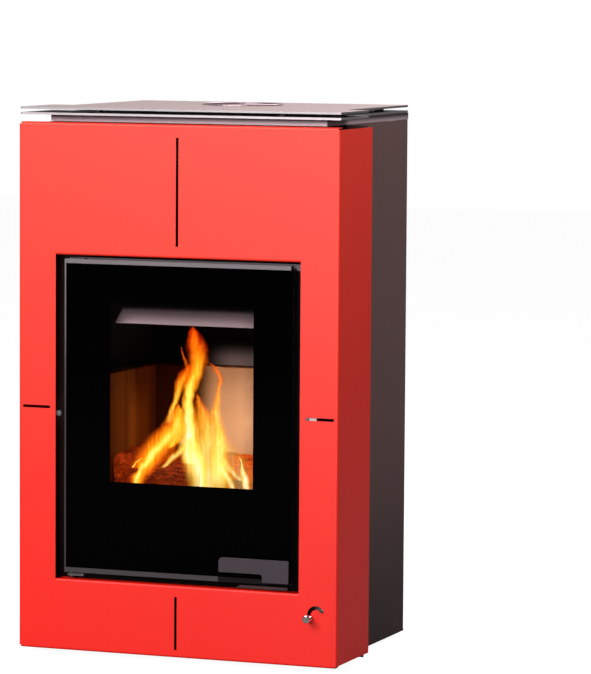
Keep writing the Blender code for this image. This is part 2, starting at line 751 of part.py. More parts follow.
def make_front_surround():
    bm = bmesh.new()
    flat = HALF_SURROUND - SURROUND_BEND
    opening = rectangle(-OPENING_HALF_WIDTH, OPENING_HALF_WIDTH,
                        OPENING_BOTTOM - SURROUND_BEND, OPENING_TOP + SURROUND_BEND)
    outer = rectangle(-flat, flat, SURROUND_CLEARANCE + SURROUND_BEND, SURROUND_TOP - SURROUND_BEND)
    flat_face(bm, outer, [opening, *surround_cut_outs()], facing_front(0.0))
    back = Vector((0.0, 1.0, 0.0))
    for side in (-1.0, 1.0):
        out = Vector((side, 0.0, 0.0))
        edges = boundary(bm, lambda p, side=side: near(p.x, side * flat) and near(p.y, 0.0))
        straight = back * (SURROUND_DEPTH - SURROUND_BEND)
        fold(bm, edges, bend_steps(SURROUND_BEND, out, back) + [straight])
    for height, up in ((SURROUND_CLEARANCE + SURROUND_BEND, -1.0), (SURROUND_TOP - SURROUND_BEND, 1.0)):
        edges = boundary(bm, lambda p, height=height: near(p.z, height) and near(p.y, 0.0))
        steps = bend_steps(SURROUND_BEND, (0.0, 0.0, up), back)
        fold(bm, edges, steps + [back * (SURROUND_RETURN - SURROUND_BEND)])
    returns = ((OPENING_BOTTOM - SURROUND_BEND, 1.0, OPENING_BOTTOM_RETURN),
               (OPENING_TOP + SURROUND_BEND, -1.0, OPENING_TOP_RETURN))
    for height, up, depth in returns:
        edges = boundary(bm, lambda p, height=height: near(p.z, height) and near(p.y, 0.0)
                         and abs(p.x) <= OPENING_HALF_WIDTH + 0.00001)
        steps = bend_steps(SURROUND_BEND, (0.0, 0.0, up), back)
        fold(bm, edges, steps + [back * (depth - SURROUND_BEND)])
    face_outwards(bm, (0.0, -1.0, 0.0))
    thicken(add_piece("front_surround", bm, "enamel_red"), SURROUND_SHEET)


def make_surround_clip(name, place, side):
    """A bent clip behind the surround that carries a dome-headed screw."""
    centre_x, height = place
    leg_x = centre_x + side * (DOME_RADIUS + CLIP_LEG_GAP)
    behind = SURROUND_SHEET + GAP
    tab_end = centre_x - side * DOME_RADIUS
    foot_end = leg_x + side * CLIP_FOOT
    half = CLIP_HALF_HEIGHT
    outline = [
        (foot_end, behind),
        (leg_x, behind),
        (leg_x, CLIP_STAND_OFF),
        (tab_end, CLIP_STAND_OFF),
        (tab_end, CLIP_STAND_OFF + SURROUND_SHEET),
        (leg_x + side * SURROUND_SHEET, CLIP_STAND_OFF + SURROUND_SHEET),
        (leg_x + side * SURROUND_SHEET, behind + SURROUND_SHEET),
        (foot_end, behind + SURROUND_SHEET),
    ]
    clip = add_piece(name, plate(outline, [], facing_up(height - half), (0.0, 0.0, 2 * half)),
                     "zinc_steel")
    profile = [(0.0, -0.0005)] + [(r, h) for r, h in arc((0.0, -0.0005), DOME_RADIUS, 0.0, 90.0, 6)]
    profile[-1] = (0.0, DOME_RADIUS - 0.0005)
    dome = turned(profile, Vector((0.0, 0.0, 0.0)), "Y", 16)
    bmesh.ops.rotate(dome, cent=(0.0, 0.0, 0.0), matrix=Matrix.Rotation(math.pi, 3, "Z"), verts=dome.verts[:])
    bmesh.ops.translate(dome, vec=(centre_x, CLIP_STAND_OFF, height), verts=dome.verts[:])
    join(clip, "dome", dome)


# Casing, base and feet

def make_casing_side(name, side):
    reach = HALF_SURROUND - SURROUND_SHEET - GAP
    points = [
        (side * reach, CASING_FRONT),
        (side * HALF_BODY, CASING_FRONT),
        (side * HALF_BODY, CASING_BACK),
        (side * (HALF_BODY - CASING_REAR_FLANGE), CASING_BACK),
    ]
    low = BASE_TOP + GAP
    bm = bent_strip(points, facing_up(low), (0.0, 0.0, SURROUND_TOP - low), CASING_BEND)
    face_outwards(bm, (side, 0.0, 0.0))
    thicken(add_piece(name, bm, "casing_paint"), SHEET)


def make_rear_panel():
    half = HALF_BODY - REAR_PANEL_MARGIN
    outer = rectangle(-half, half, BASE_TOP + REAR_PANEL_MARGIN, SURROUND_TOP - REAR_PANEL_MARGIN)
    reach_x = SERVICE_HALF_WIDTH + VENT_WIDTH
    reach_z = SERVICE_HALF_HEIGHT + VENT_WIDTH
    window = rectangle(-reach_x, reach_x, COLLAR_Z - reach_z, COLLAR_Z + reach_z)
    add_piece("rear_panel", plate(outer, [window], facing_front(REAR_PANEL_Y), (0.0, SHEET, 0.0)),
              "rear_grey")


def vent_slots():
    """Tilted slots in a row round the strip between the service panel and the rear panel."""
    half_x = SERVICE_HALF_WIDTH + VENT_WIDTH / 2
    half_z = SERVICE_HALF_HEIGHT + VENT_WIDTH / 2
    slots = []
    across = int((2 * half_x - VENT_SLOT_LENGTH) / VENT_SLOT_PITCH)
    upright = int((2 * half_z - 2 * VENT_SLOT_PITCH) / VENT_SLOT_PITCH)
    for index in range(across + 1):
        x = (index - across / 2) * VENT_SLOT_PITCH
        for sign in (-1.0, 1.0):
            slots.append(((x, COLLAR_Z + sign * half_z), 90.0 - sign * VENT_SLOT_TILT))
    for index in range(upright):
        z = COLLAR_Z + (index - (upright - 1) / 2) * VENT_SLOT_PITCH
        for sign in (-1.0, 1.0):
            slots.append(((sign * half_x, z), -sign * VENT_SLOT_TILT))
    return [straight_slot(place, VENT_SLOT_LENGTH, VENT_SLOT_WIDTH, tilt, 2) for place, tilt in slots]


def make_rear_vent_frame():
    out_x = SERVICE_HALF_WIDTH + VENT_WIDTH + VENT_LAP
    out_z = SERVICE_HALF_HEIGHT + VENT_WIDTH + VENT_LAP
    in_x = SERVICE_HALF_WIDTH - VENT_LAP
    in_z = SERVICE_HALF_HEIGHT - VENT_LAP
    outer = rectangle(-out_x, out_x, COLLAR_Z - out_z, COLLAR_Z + out_z)
    inner = rectangle(-in_x, in_x, COLLAR_Z - in_z, COLLAR_Z + in_z)
    bm = plate(outer, [inner, *vent_slots()], facing_front(VENT_Y), (0.0, SHEET, 0.0))
    add_piece("rear_vent_frame", bm, "vent_black")


def make_service_panel():
    outer = rounded_rectangle(-SERVICE_HALF_WIDTH, SERVICE_HALF_WIDTH, COLLAR_Z - SERVICE_HALF_HEIGHT,
                              COLLAR_Z + SERVICE_HALF_HEIGHT, 0.004, 3)
    holes = [circle((0.0, COLLAR_Z), COLLAR_RADIUS + 2 * GAP, ROUND_STEPS)]
    holes += [circle((sign * STUD_X, COLLAR_Z), STUD_RADIUS + GAP, 12) for sign in (-1.0, 1.0)]
    bm = plate(outer, holes, facing_front(SERVICE_Y), (0.0, SERVICE_SHEET, 0.0))
    add_piece("service_panel", bm, "rear_grey")


def make_base():
    outer = rectangle(-HALF_BODY, HALF_BODY, BASE_FRONT, CASING_BACK)
    add_piece("base_plate", plate(outer, [], facing_up(BASE_BOTTOM), (0.0, 0.0, BASE_SHEET)), "casing_paint")
    wall = SHELL_WALL
    half = SHELL_HALF_WIDTH - PLINTH_INSET
    front, back = BASE_FRONT + PLINTH_FRONT, SHELL_BACK - PLINTH_BACK
    ring = plate(rectangle(-half, half, front, back),
                 [rectangle(-half + wall, half - wall, front + wall, back - wall)],
                 facing_up(BASE_TOP + GAP), (0.0, 0.0, SHELL_BOTTOM - BASE_TOP - 2 * GAP))
    add_piece("support_plinth", ring, "black_steel")


def make_feet():
    places = {
        "front_left": (-1.0, BASE_FRONT + FOOT_INSET),
        "front_right": (1.0, BASE_FRONT + FOOT_INSET),
        "rear_left": (-1.0, CASING_BACK - FOOT_INSET),
        "rear_right": (1.0, CASING_BACK - FOOT_INSET),
    }
    height = BASE_BOTTOM - GAP
    profile = [(0.0, 0.0), (FOOT_RADIUS - FOOT_EDGE, 0.0), (FOOT_RADIUS, FOOT_EDGE),
               (FOOT_RADIUS, height - FOOT_EDGE), (FOOT_RADIUS - FOOT_EDGE, height), (0.0, height)]
    for where, (side, y) in places.items():
        place = Vector((side * (HALF_BODY - FOOT_INSET), y, 0.0))
        add_piece(f"levelling_foot_{where}", turned(profile, place, "Z", 24), "black_rubber", smooth=True)


# Top cover, top plates and flue outlet

def make_top_cover():
    bm = bmesh.new()
    outer = rectangle(-HALF_BODY, HALF_BODY, COVER_FRONT, BODY_DEPTH)
    hole = circle((0.0, FLUE_Y), FLUE_RADIUS + FLUE_HOLE_CLEARANCE, ROUND_STEPS)
    flat_face(bm, outer, [hole], facing_up(COVER_TOP))
    rim = boundary(bm, lambda p: near(abs(p.x), HALF_BODY) or near(p.y, COVER_FRONT) or near(p.y, BODY_DEPTH))
    fold(bm, rim, [Vector((0.0, 0.0, SURROUND_TOP + GAP - COVER_TOP))])
    face_outwards(bm, (0.0, 0.0, 1.0))
    thicken(add_piece("top_cover", bm, "satin_steel"), SHEET)


def top_outline():
    """As wide as the surround in front and as wide as the casing behind it."""
    wide, narrow = HALF_SURROUND, HALF_BODY
    front, step, back = PLATE_SETBACK, CASING_FRONT, BODY_DEPTH
    corner = PLATE_CORNER
    right = (
        arc((wide - corner, front + corner), corner, -90.0, 0.0, 3)
        + arc((wide - corner, step - corner), corner, 0.0, 90.0, 3)
        + [(narrow, step)]
        + arc((narrow - corner, back - corner), corner, 0.0, 90.0, 3)
    )
    return right + [(-x, y) for x, y in reversed(right)]


def make_top_plates():
    hole = circle((0.0, FLUE_Y), FLUE_RADIUS + FLUE_HOLE_CLEARANCE, ROUND_STEPS)
    thickness = (0.0, 0.0, PLATE_THICKNESS)
    lower = add_piece("top_plate_lower", plate(top_outline(), [hole], facing_up(COVER_TOP + GAP), thickness),
                      "satin_steel")
    front, rear = HALF_BODY - SPACER_FRONT_INSET, HALF_BODY - SPACER_REAR_INSET
    places = [(side * front, COVER_FRONT + SPACER_FRONT) for side in (-1.0, 1.0)]
    places += [(side * rear, BODY_DEPTH - SPACER_REAR) for side in (-1.0, 1.0)]
    for index, (x, y) in enumerate(places):
        low, high = LOWER_PLATE_TOP - PLATE_THICKNESS / 2, UPPER_PLATE_BOTTOM - GAP
        join(lower, f"spacer_{index}", rod(SPACER_RADIUS, low, high, Vector((x, y, 0.0)), "Z", 16))
    upper = plate(top_outline(), [hole], facing_up(UPPER_PLATE_BOTTOM), thickness)
    add_piece("top_plate_upper", upper, "satin_steel")


def make_flue_collar():
    low, high = SHELL_TOP + GAP, STOVE_TOP + FLUE_RISE
    inner, rim = FLUE_RADIUS - FLUE_WALL, FLUE_RIM_EDGE
    profile = [
        (inner, low),
        (FLUE_RADIUS + FLUE_FLANGE, low),
        (FLUE_RADIUS + FLUE_FLANGE, low + PLATE_THICKNESS),
        (FLUE_RADIUS, low + PLATE_THICKNESS),
        (FLUE_RADIUS, high - rim),
        (FLUE_RADIUS - rim, high),
        (inner + rim, high),
        (inner, high - rim),
    ]
    add_piece("flue_collar", turned(profile, Vector((0.0, FLUE_Y, 0.0)), "Z", ROUND_STEPS), "satin_steel", smooth=True)


# Firebox

def make_firebox_shell():
    half, wall = SHELL_HALF_WIDTH, SHELL_WALL
    shell = add_piece("firebox_shell",
                      block((-half, half), (SHELL_FRONT, SHELL_BACK), (SHELL_BOTTOM, SHELL_TOP)),
                      "black_steel")
    cut(shell, "cavity", block((-half + wall, half - wall), (SHELL_FRONT - OVERCUT, SHELL_BACK - wall),
                               (SHELL_FLOOR, SHELL_TOP - wall)))
    cut(shell, "flue", rod(FLUE_RADIUS - FLUE_WALL, SHELL_TOP - wall - OVERCUT, SHELL_TOP + OVERCUT,
                           Vector((0.0, FLUE_Y, 0.0)), "Z", ROUND_STEPS))
    outlet_x, outlet_z = air_outlet()
    cut(shell, "air", block(outlet_x, (SHELL_BACK - wall - OVERCUT, SHELL_BACK + OVERCUT), outlet_z))
    inside = half - wall
    high = BAFFLE_BOTTOM - GAP
    for name, side in (("left", -1.0), ("right", 1.0)):
        across = sorted((side * (inside - LEDGE_WIDTH), side * (inside + wall / 2)))
        join(shell, f"ledge_{name}", block(across, (BAFFLE_FRONT, SHELL_BACK - wall / 2),
                                           (high - LEDGE_THICKNESS, high)))


def make_firebox_front():
    """The fixed plate behind the door. Its left edge is cut back where the door's edge swings in."""
    low = OPENING_BOTTOM + GAP
    high = FRONT_PLATE_TOP
    outline = [
        (FRONT_PLATE_RIGHT, low),
        (FRONT_PLATE_RIGHT, high),
        (HINGE_X - SWING_NOTCH, high),
        (HINGE_X - SWING_NOTCH, FRAME_TOP + 2 * GAP),
        (-FRONT_PLATE_WAIST, FRAME_TOP + 2 * GAP),
        (-FRONT_PLATE_WAIST, DOOR_BOTTOM - 2 * GAP),
        (-FRONT_PLATE_LEFT, DOOR_BOTTOM - 2 * GAP),
        (-FRONT_PLATE_LEFT, low),
    ]
    mouth = rectangle(-MOUTH_HALF_WIDTH, MOUTH_HALF_WIDTH, MOUTH_BOTTOM, MOUTH_TOP)
    pan_half = PAN_HALF_WIDTH + PAN_RUNNING
    ash_door = rectangle(-pan_half, pan_half, SHELL_FLOOR - GAP, PAN_BOTTOM + PAN_HEIGHT + PAN_RUNNING)
    bm = plate(outline, [mouth, ash_door], facing_front(FRONT_PLATE_Y), (0.0, FRONT_PLATE, 0.0))
    add_piece("firebox_front", bm, "black_steel")


def make_frame_top_rail():
    """A strip over the door, cut out above the upper hinge lug and with a tab down past the door's end."""
    low, high = FRONT_PLATE_TOP - RAIL_HEIGHT, FRONT_PLATE_TOP
    left = HINGE_X - SWING_NOTCH
    lug_right, lug_top = HINGE_X + HINGE_RIGHT + GAP, FRAME_TOP + 3 * GAP + HINGE_THICKNESS
    tab_left, tab_low = DOOR_HALF_WIDTH - RAIL_TAB_INSET, low - RAIL_TAB_HEIGHT
    outline = [
        (FRONT_PLATE_RIGHT, tab_low),
        (FRONT_PLATE_RIGHT, high),
        (left, high),
        (left, lug_top),
        (lug_right, lug_top),
        (lug_right, low),
        (tab_left, low),
        (tab_left, tab_low),
    ]
    bm = plate(outline, [], facing_front(FRONT_PLATE_Y - GAP - RAIL_DEPTH), (0.0, RAIL_DEPTH, 0.0))
    add_piece("frame_top_rail", bm, "trim_grey")


def make_hearth():
    """A cast plate whose two legs stand on the shell's floor and guide the ash pan."""
    half = SHELL_HALF_WIDTH - SHELL_WALL - LOOSE
    leg_in, leg_out, floor = LEG_X, LEG_X + HEARTH_LEG, SHELL_FLOOR + GAP
    right = [
        (leg_in, HEARTH_BOTTOM),
        (leg_in, floor),
        (leg_out, floor),
        (leg_out, HEARTH_BOTTOM),
        (half, HEARTH_BOTTOM),
        (half, HEARTH_TOP),
    ]
    outline = right + [(-x, z) for x, z in reversed(right)]
    front = SHELL_FRONT + GAP
    length = SHELL_BACK - SHELL_WALL - LOOSE - front
    hearth = add_piece("hearth_plate", plate(outline, [], facing_front(front), (0.0, length, 0.0)), "cast_iron")
    half_x, half_y = GRATE_WIDTH / 2, GRATE_LENGTH / 2
    seat = HEARTH_BOTTOM + GRATE_SEAT
    cut(hearth, "seat", block((-half_x, half_x), (GRATE_Y - half_y, GRATE_Y + half_y),
                              (seat, HEARTH_TOP + OVERCUT)))
    half_x, half_y = half_x - GRATE_LEDGE, half_y - GRATE_LEDGE
    cut(hearth, "fall", block((-half_x, half_x), (GRATE_Y - half_y, GRATE_Y + half_y),
                              (HEARTH_BOTTOM - OVERCUT, HEARTH_TOP + OVERCUT)))


def make_fire_grate():
    """Bars between round-ended slots, seated in the rebate of the hearth plate."""
    half_x, half_y = GRATE_WIDTH / 2 - 2 * GAP, GRATE_LENGTH / 2 - 2 * GAP
    outer = rounded_rectangle(-half_x, half_x, GRATE_Y - half_y, GRATE_Y + half_y, 0.003, 2)
    pitch = (2 * (half_x - GRATE_RIM) + GRATE_SLOT_WIDTH * 0.6) / GRATE_SLOTS
    slots = [
        straight_slot(((index - (GRATE_SLOTS - 1) / 2) * pitch, GRATE_Y), 2 * (half_y - GRATE_RIM),
                      GRATE_SLOT_WIDTH, 90.0, 4)
        for index in range(GRATE_SLOTS)
    ]
    low = HEARTH_BOTTOM + GRATE_SEAT + GAP
    bm = plate(outer, slots, facing_up(low), (0.0, 0.0, GRATE_THICKNESS))
    bevel(add_piece("fire_grate", bm, "cast_iron"), 0.0008, 1, 60.0)


def make_firebricks():
    """Two bricks in each side wall and one behind, standing on the hearth plate."""
    front = SHELL_FRONT + BRICK_FRONT_GAP
    spans = {"front": (front, BRICK_JOINT_Y - GAP), "rear": (BRICK_JOINT_Y, BRICK_FACE_Y - GAP)}
    height = (BRICK_BOTTOM, BRICK_TOP)
    outer = BRICK_OUTSIDE
    for side_name, side in (("left", -1.0), ("right", 1.0)):
        walls = sorted((side * outer, side * BRICK_FACE_X))
        for where, span in spans.items():
            brick = add_piece(f"firebrick_{side_name}_{where}", block(walls, span, height), "firebrick")
            bevel(brick, BRICK_EDGE)
    back = add_piece("firebrick_back", block((-outer, outer), (BRICK_FACE_Y, BRICK_FACE_Y + BACK_BRICK_THICKNESS),
                                             height), "firebrick")
    bevel(back, BRICK_EDGE)
    half = SHELL_HALF_WIDTH - SHELL_WALL - BAFFLE_CLEARANCE
    baffle = block((-half, half), (BAFFLE_FRONT, SHELL_BACK - SHELL_WALL - BAFFLE_CLEARANCE),
                   (BAFFLE_BOTTOM, BAFFLE_BOTTOM + BAFFLE_THICKNESS))
    bevel(add_piece("baffle_plate", baffle, "dark_brick"), BRICK_EDGE)


def make_air_wash_plate():
    """A folded plate that leads air down the inside of the glass."""
    front = SHELL_FRONT
    corner = MOUTH_TOP - WASH_FLANGE_DROP
    points = [
        (front, corner + WASH_FLANGE),
        (front, corner),
        (front + WASH_FOLD_DEPTH, MOUTH_TOP - WASH_FOLD_DROP),
        (front + WASH_TIP_DEPTH, MOUTH_TOP - WASH_TIP_DROP),
    ]
    bm = bent_strip(points, facing_side(-WASH_LEFT), (WASH_LEFT + WASH_RIGHT, 0.0, 0.0), SURROUND_SHEET, 2)
    face_outwards(bm, (0.0, -1.0, 1.0))
    thicken(add_piece("air_wash_plate", bm, "trim_grey"), SURROUND_SHEET)


# Door

def make_door_frame():
    bm = bmesh.new()
    half = DOOR_HALF_WIDTH
    outer = rectangle(-half, half, DOOR_BOTTOM, FRAME_TOP)
    window = rectangle(-WINDOW_HALF_WIDTH, WINDOW_HALF_WIDTH, WINDOW_BOTTOM, WINDOW_TOP)
    spindle = circle((PIVOT_X, PIVOT_Z), SPINDLE_RADIUS + RUNNING, 16)
    flat_face(bm, outer, [window, spindle], facing_front(FRAME_Y))

    def on_rim(p):
        return near(abs(p.x), half) or near(p.z, DOOR_BOTTOM) or near(p.z, FRAME_TOP)

    def on_window(p):
        return abs(p.x) < WINDOW_HALF_WIDTH + GAP and WINDOW_BOTTOM - GAP < p.z < WINDOW_TOP + GAP

    depth = [Vector((0.0, FRAME_BACK - FRAME_Y, 0.0))]
    fold(bm, boundary(bm, on_rim), depth)
    fold(bm, boundary(bm, lambda p: on_window(p) and near(p.y, FRAME_Y)), depth)
    face_outwards(bm, (0.0, -1.0, 0.0))
    frame = add_piece("door_frame", bm, "black_paint", DOOR_AXIS)
    thicken(frame, SHEET)
    hinge = Vector((HINGE_X, HINGE_Y, 0.0))
    hole = HINGE_PIN_RADIUS + RUNNING
    cut(frame, "pin_bottom", rod(hole, DOOR_BOTTOM - OVERCUT, DOOR_BOTTOM + OVERCUT, hinge, "Z", 20))
    cut(frame, "pin_top", rod(hole, FRAME_TOP - OVERCUT, FRAME_TOP + OVERCUT, hinge, "Z", 20))
    tongue = tongue_span()
    across = (PIVOT_X - TONGUE_SLOT_LEFT, PIVOT_X + TONGUE_SLOT_RIGHT)
    cut(frame, "tongue", block(across, (tongue[0] - TONGUE_SLOT_GAP, tongue[1] + TONGUE_SLOT_GAP),
                               (DOOR_BOTTOM - OVERCUT, DOOR_BOTTOM + OVERCUT)))


def make_glass():
    right = DOOR_HALF_WIDTH
    left = -DOOR_HALF_WIDTH + GLASS_SETBACK
    low = DOOR_BOTTOM + RETAINER_BOTTOM - GLASS_LAP
    high = DOOR_TOP - RETAINER_TOP + GLASS_TOP_LAP
    outer = rounded_rectangle(left, right, low, high, GLASS_CORNER, 2)
    hole = circle((PIVOT_X, PIVOT_Z), BOSS_RADIUS + GLASS_SETBACK, 24)
    bm = plate(outer, [hole], facing_front(GLASS_Y), (0.0, GLASS_THICKNESS, 0.0))
    add_piece("door_glass", bm, "black_glass", DOOR_AXIS)


def make_glass_gasket():
    inner = WINDOW_HALF_WIDTH + GASKET_OVERLAP
    low, high = WINDOW_BOTTOM - GASKET_OVERLAP, WINDOW_TOP + GASKET_OVERLAP
    w = GASKET_WIDTH
    outer = rectangle(-inner - w, inner + w, low - w, high + w)
    hole = rectangle(-inner, inner, low, high)
    bm = plate(outer, [hole], facing_front(GASKET_Y), (0.0, FRAME_Y - GAP - GASKET_Y, 0.0))
    add_piece("glass_gasket", bm, "seal_rope", DOOR_AXIS)


def make_glass_retainer():
    """A C-shaped strip over the top, left and bottom edges of the glass."""
    left, right = RETAINER_END - DOOR_HALF_WIDTH, DOOR_HALF_WIDTH - RETAINER_END
    inner_left = RETAINER_LEFT - DOOR_HALF_WIDTH
    outline = [
        (right, DOOR_TOP),
        (left, DOOR_TOP),
        (left, DOOR_BOTTOM),
        (right, DOOR_BOTTOM),
        (right, DOOR_BOTTOM + RETAINER_BOTTOM),
        (inner_left, DOOR_BOTTOM + RETAINER_BOTTOM),
        (inner_left, DOOR_TOP - RETAINER_TOP),
        (right, DOOR_TOP - RETAINER_TOP),
    ]
    bm = plate(outline, [], facing_front(0.0), (0.0, RETAINER_THICKNESS, 0.0))
    add_piece("glass_retainer", bm, "trim_grey", DOOR_AXIS)


def make_door_seal():
    """A flattened rope ring between the door frame and the fixed front plate."""
    front = FRAME_Y + SHEET + GAP
    back = FRONT_PLATE_Y - GAP
    depth, middle = (back - front) / 2, (back + front) / 2
    line = rounded_rectangle(-SEAL_LEFT, SEAL_RIGHT, SEAL_BOTTOM, SEAL_TOP, SEAL_CORNER, 4)
    inner = rounded_rectangle(-SEAL_LEFT + SEAL_WIDTH / 2, SEAL_RIGHT - SEAL_WIDTH / 2,
                              SEAL_BOTTOM + SEAL_WIDTH / 2, SEAL_TOP - SEAL_WIDTH / 2,
                              SEAL_CORNER - SEAL_WIDTH / 2, 4)
    section = circle((0.0, 0.0), 1.0, 8)
    bm = bmesh.new()
    rings = []
    for on_line, on_inner in zip(line, inner):
        side = Vector(on_inner) - Vector(on_line)
        rings.append([
            bm.verts.new((on_line[0] + a * side.x, middle + b * depth, on_line[1] + a * side.y))
            for a, b in section
        ])
    for index, ring in enumerate(rings):
        before = rings[index - 1]
        for corner in range(len(section)):
            bm.faces.new((before[corner - 1], before[corner], ring[corner], ring[corner - 1]))
    bmesh.ops.recalc_face_normals(bm, faces=bm.faces[:])
    add_piece("door_seal", bm, "seal_rope", DOOR_AXIS, smooth=True)


def make_hinges():
    """Two fixed lugs, above and below the door, and the pins that the door turns on."""
    left, right = HINGE_X - HINGE_LEFT, HINGE_X + HINGE_RIGHT
    front, back = FRAME_Y + GAP, FRONT_PLATE_Y - GAP
    lower_top = DOOR_BOTTOM - HINGE_WASHER
    heights = {"upper": FRAME_TOP + 2 * GAP, "lower": lower_top - HINGE_THICKNESS}
    for where, low in heights.items():
        outer = rounded_rectangle(left, right, front, back, HINGE_CORNER, 3)
        hole = circle((HINGE_X, HINGE_Y), HINGE_PIN_RADIUS + RUNNING, 20)
        bm = plate(outer, [hole], facing_up(low), (0.0, 0.0, HINGE_THICKNESS))
        add_piece(f"hinge_lug_{where}", bm, "zinc_steel")
    place = Vector((HINGE_X, HINGE_Y, 0.0))
    r, head, edge = HINGE_PIN_RADIUS, HINGE_PIN_RADIUS + HINGE_PIN_HEAD, HINGE_PIN_RADIUS * 0.3
    top, cap = heights["upper"] + HINGE_THICKNESS, HINGE_PIN_CAP
    tip = FRAME_TOP - HINGE_PIN_REACH
    upper = [(0.0, tip), (r - edge, tip), (r, tip + edge), (r, top + GAP), (head, top + GAP),
             (head, top + cap), (0.0, top + cap)]
    add_piece("hinge_pin_upper", turned(upper, place, "Z", 20), "zinc_steel", smooth=True)
    low = heights["lower"]
    seat, washer, tip = DOOR_BOTTOM - GAP, lower_top + GAP, DOOR_BOTTOM + HINGE_PIN_REACH
    foot = low - 2 * HINGE_PIN_CAP
    lower = [(0.0, foot), (head, foot), (head, low - GAP), (r, low - GAP), (r, washer), (head, washer),
             (head, seat), (r, seat), (r, tip - edge), (r - edge, tip), (0.0, tip)]
    add_piece("hinge_pin_lower", turned(lower, place, "Z", 20), "zinc_steel", smooth=True)


# Handle and latch

def make_door_handle():
    """A flat lever with a step cut out of its lower edge for the fingers."""
    lead, small, inner = HANDLE_LEAD_CORNER, HANDLE_CORNER, HANDLE_STEP_CORNER
    outline = (
        arc((HANDLE_LEFT + lead, HANDLE_TOP - lead), lead, 90.0, 180.0, 6)
        + arc((HANDLE_LEFT + small, HANDLE_ARM_BOTTOM + small), small, 180.0, 270.0, 3)
        + arc((HANDLE_STEP_X - inner, HANDLE_ARM_BOTTOM - inner), inner, 90.0, 0.0, 5)
        + arc((HANDLE_STEP_X + small, HANDLE_BOTTOM + small), small, 180.0, 270.0, 3)
        + arc((HANDLE_RIGHT - small, HANDLE_BOTTOM + small), small, 270.0, 360.0, 3)
        + arc((HANDLE_RIGHT - small, HANDLE_TOP - small), small, 0.0, 90.0, 3)
    )
    back = -HANDLE_STAND_OFF
    bm = plate(outline, [], facing_front(back - HANDLE_THICKNESS), (0.0, HANDLE_THICKNESS, 0.0))
    bevel(add_piece("door_handle", bm, "handle_grey", HANDLE_AXIS), 0.0005, 2, 40.0)


def tongue_span():
    """Where the latch tongue lies along y, inside the hollow of the door frame."""
    front = FRAME_Y + SHEET + TONGUE_FRAME_GAP
    return front, front + TONGUE_THICKNESS


def make_latch_spindle():
    """The handle's boss and spindle, and the tongue that reaches down to the keeper."""
    front, back = tongue_span()
    start = -HANDLE_STAND_OFF + GAP
    shoulder = GLASS_Y - GAP
    middle = (front + back) / 2
    profile = [(0.0, start), (BOSS_RADIUS, start), (BOSS_RADIUS, shoulder), (SPINDLE_RADIUS, shoulder),
               (SPINDLE_RADIUS, middle), (0.0, middle)]
    spindle = add_piece("latch_spindle", turned(profile, Vector((PIVOT_X, 0.0, PIVOT_Z)), "Y", 24),
                        "black_steel", HANDLE_AXIS)
    keeper_top = KEEPER_BOTTOM + KEEPER_HEIGHT
    nose = keeper_top + TONGUE_CLEARANCE + TONGUE_WIDTH / 2
    outline = teardrop((PIVOT_X, PIVOT_Z), BOSS_RADIUS, (PIVOT_X, nose), TONGUE_WIDTH / 2, 10)
    join(spindle, "tongue", plate(outline, [], facing_front(front), (0.0, back - front, 0.0)))


def make_latch_keeper():
    low, high = KEEPER_BOTTOM, KEEPER_BOTTOM + KEEPER_HEIGHT
    outline = [(KEEPER_LEFT, low), (KEEPER_RIGHT, low), (KEEPER_RIGHT, high), (KEEPER_LEFT + KEEPER_SLANT, high)]
    back = FRONT_PLATE_Y - GAP
    bm = plate(outline, [], facing_front(back - KEEPER_DEPTH), (0.0, KEEPER_DEPTH, 0.0))
    add_piece("latch_keeper", bm, "zinc_steel")


# Air control

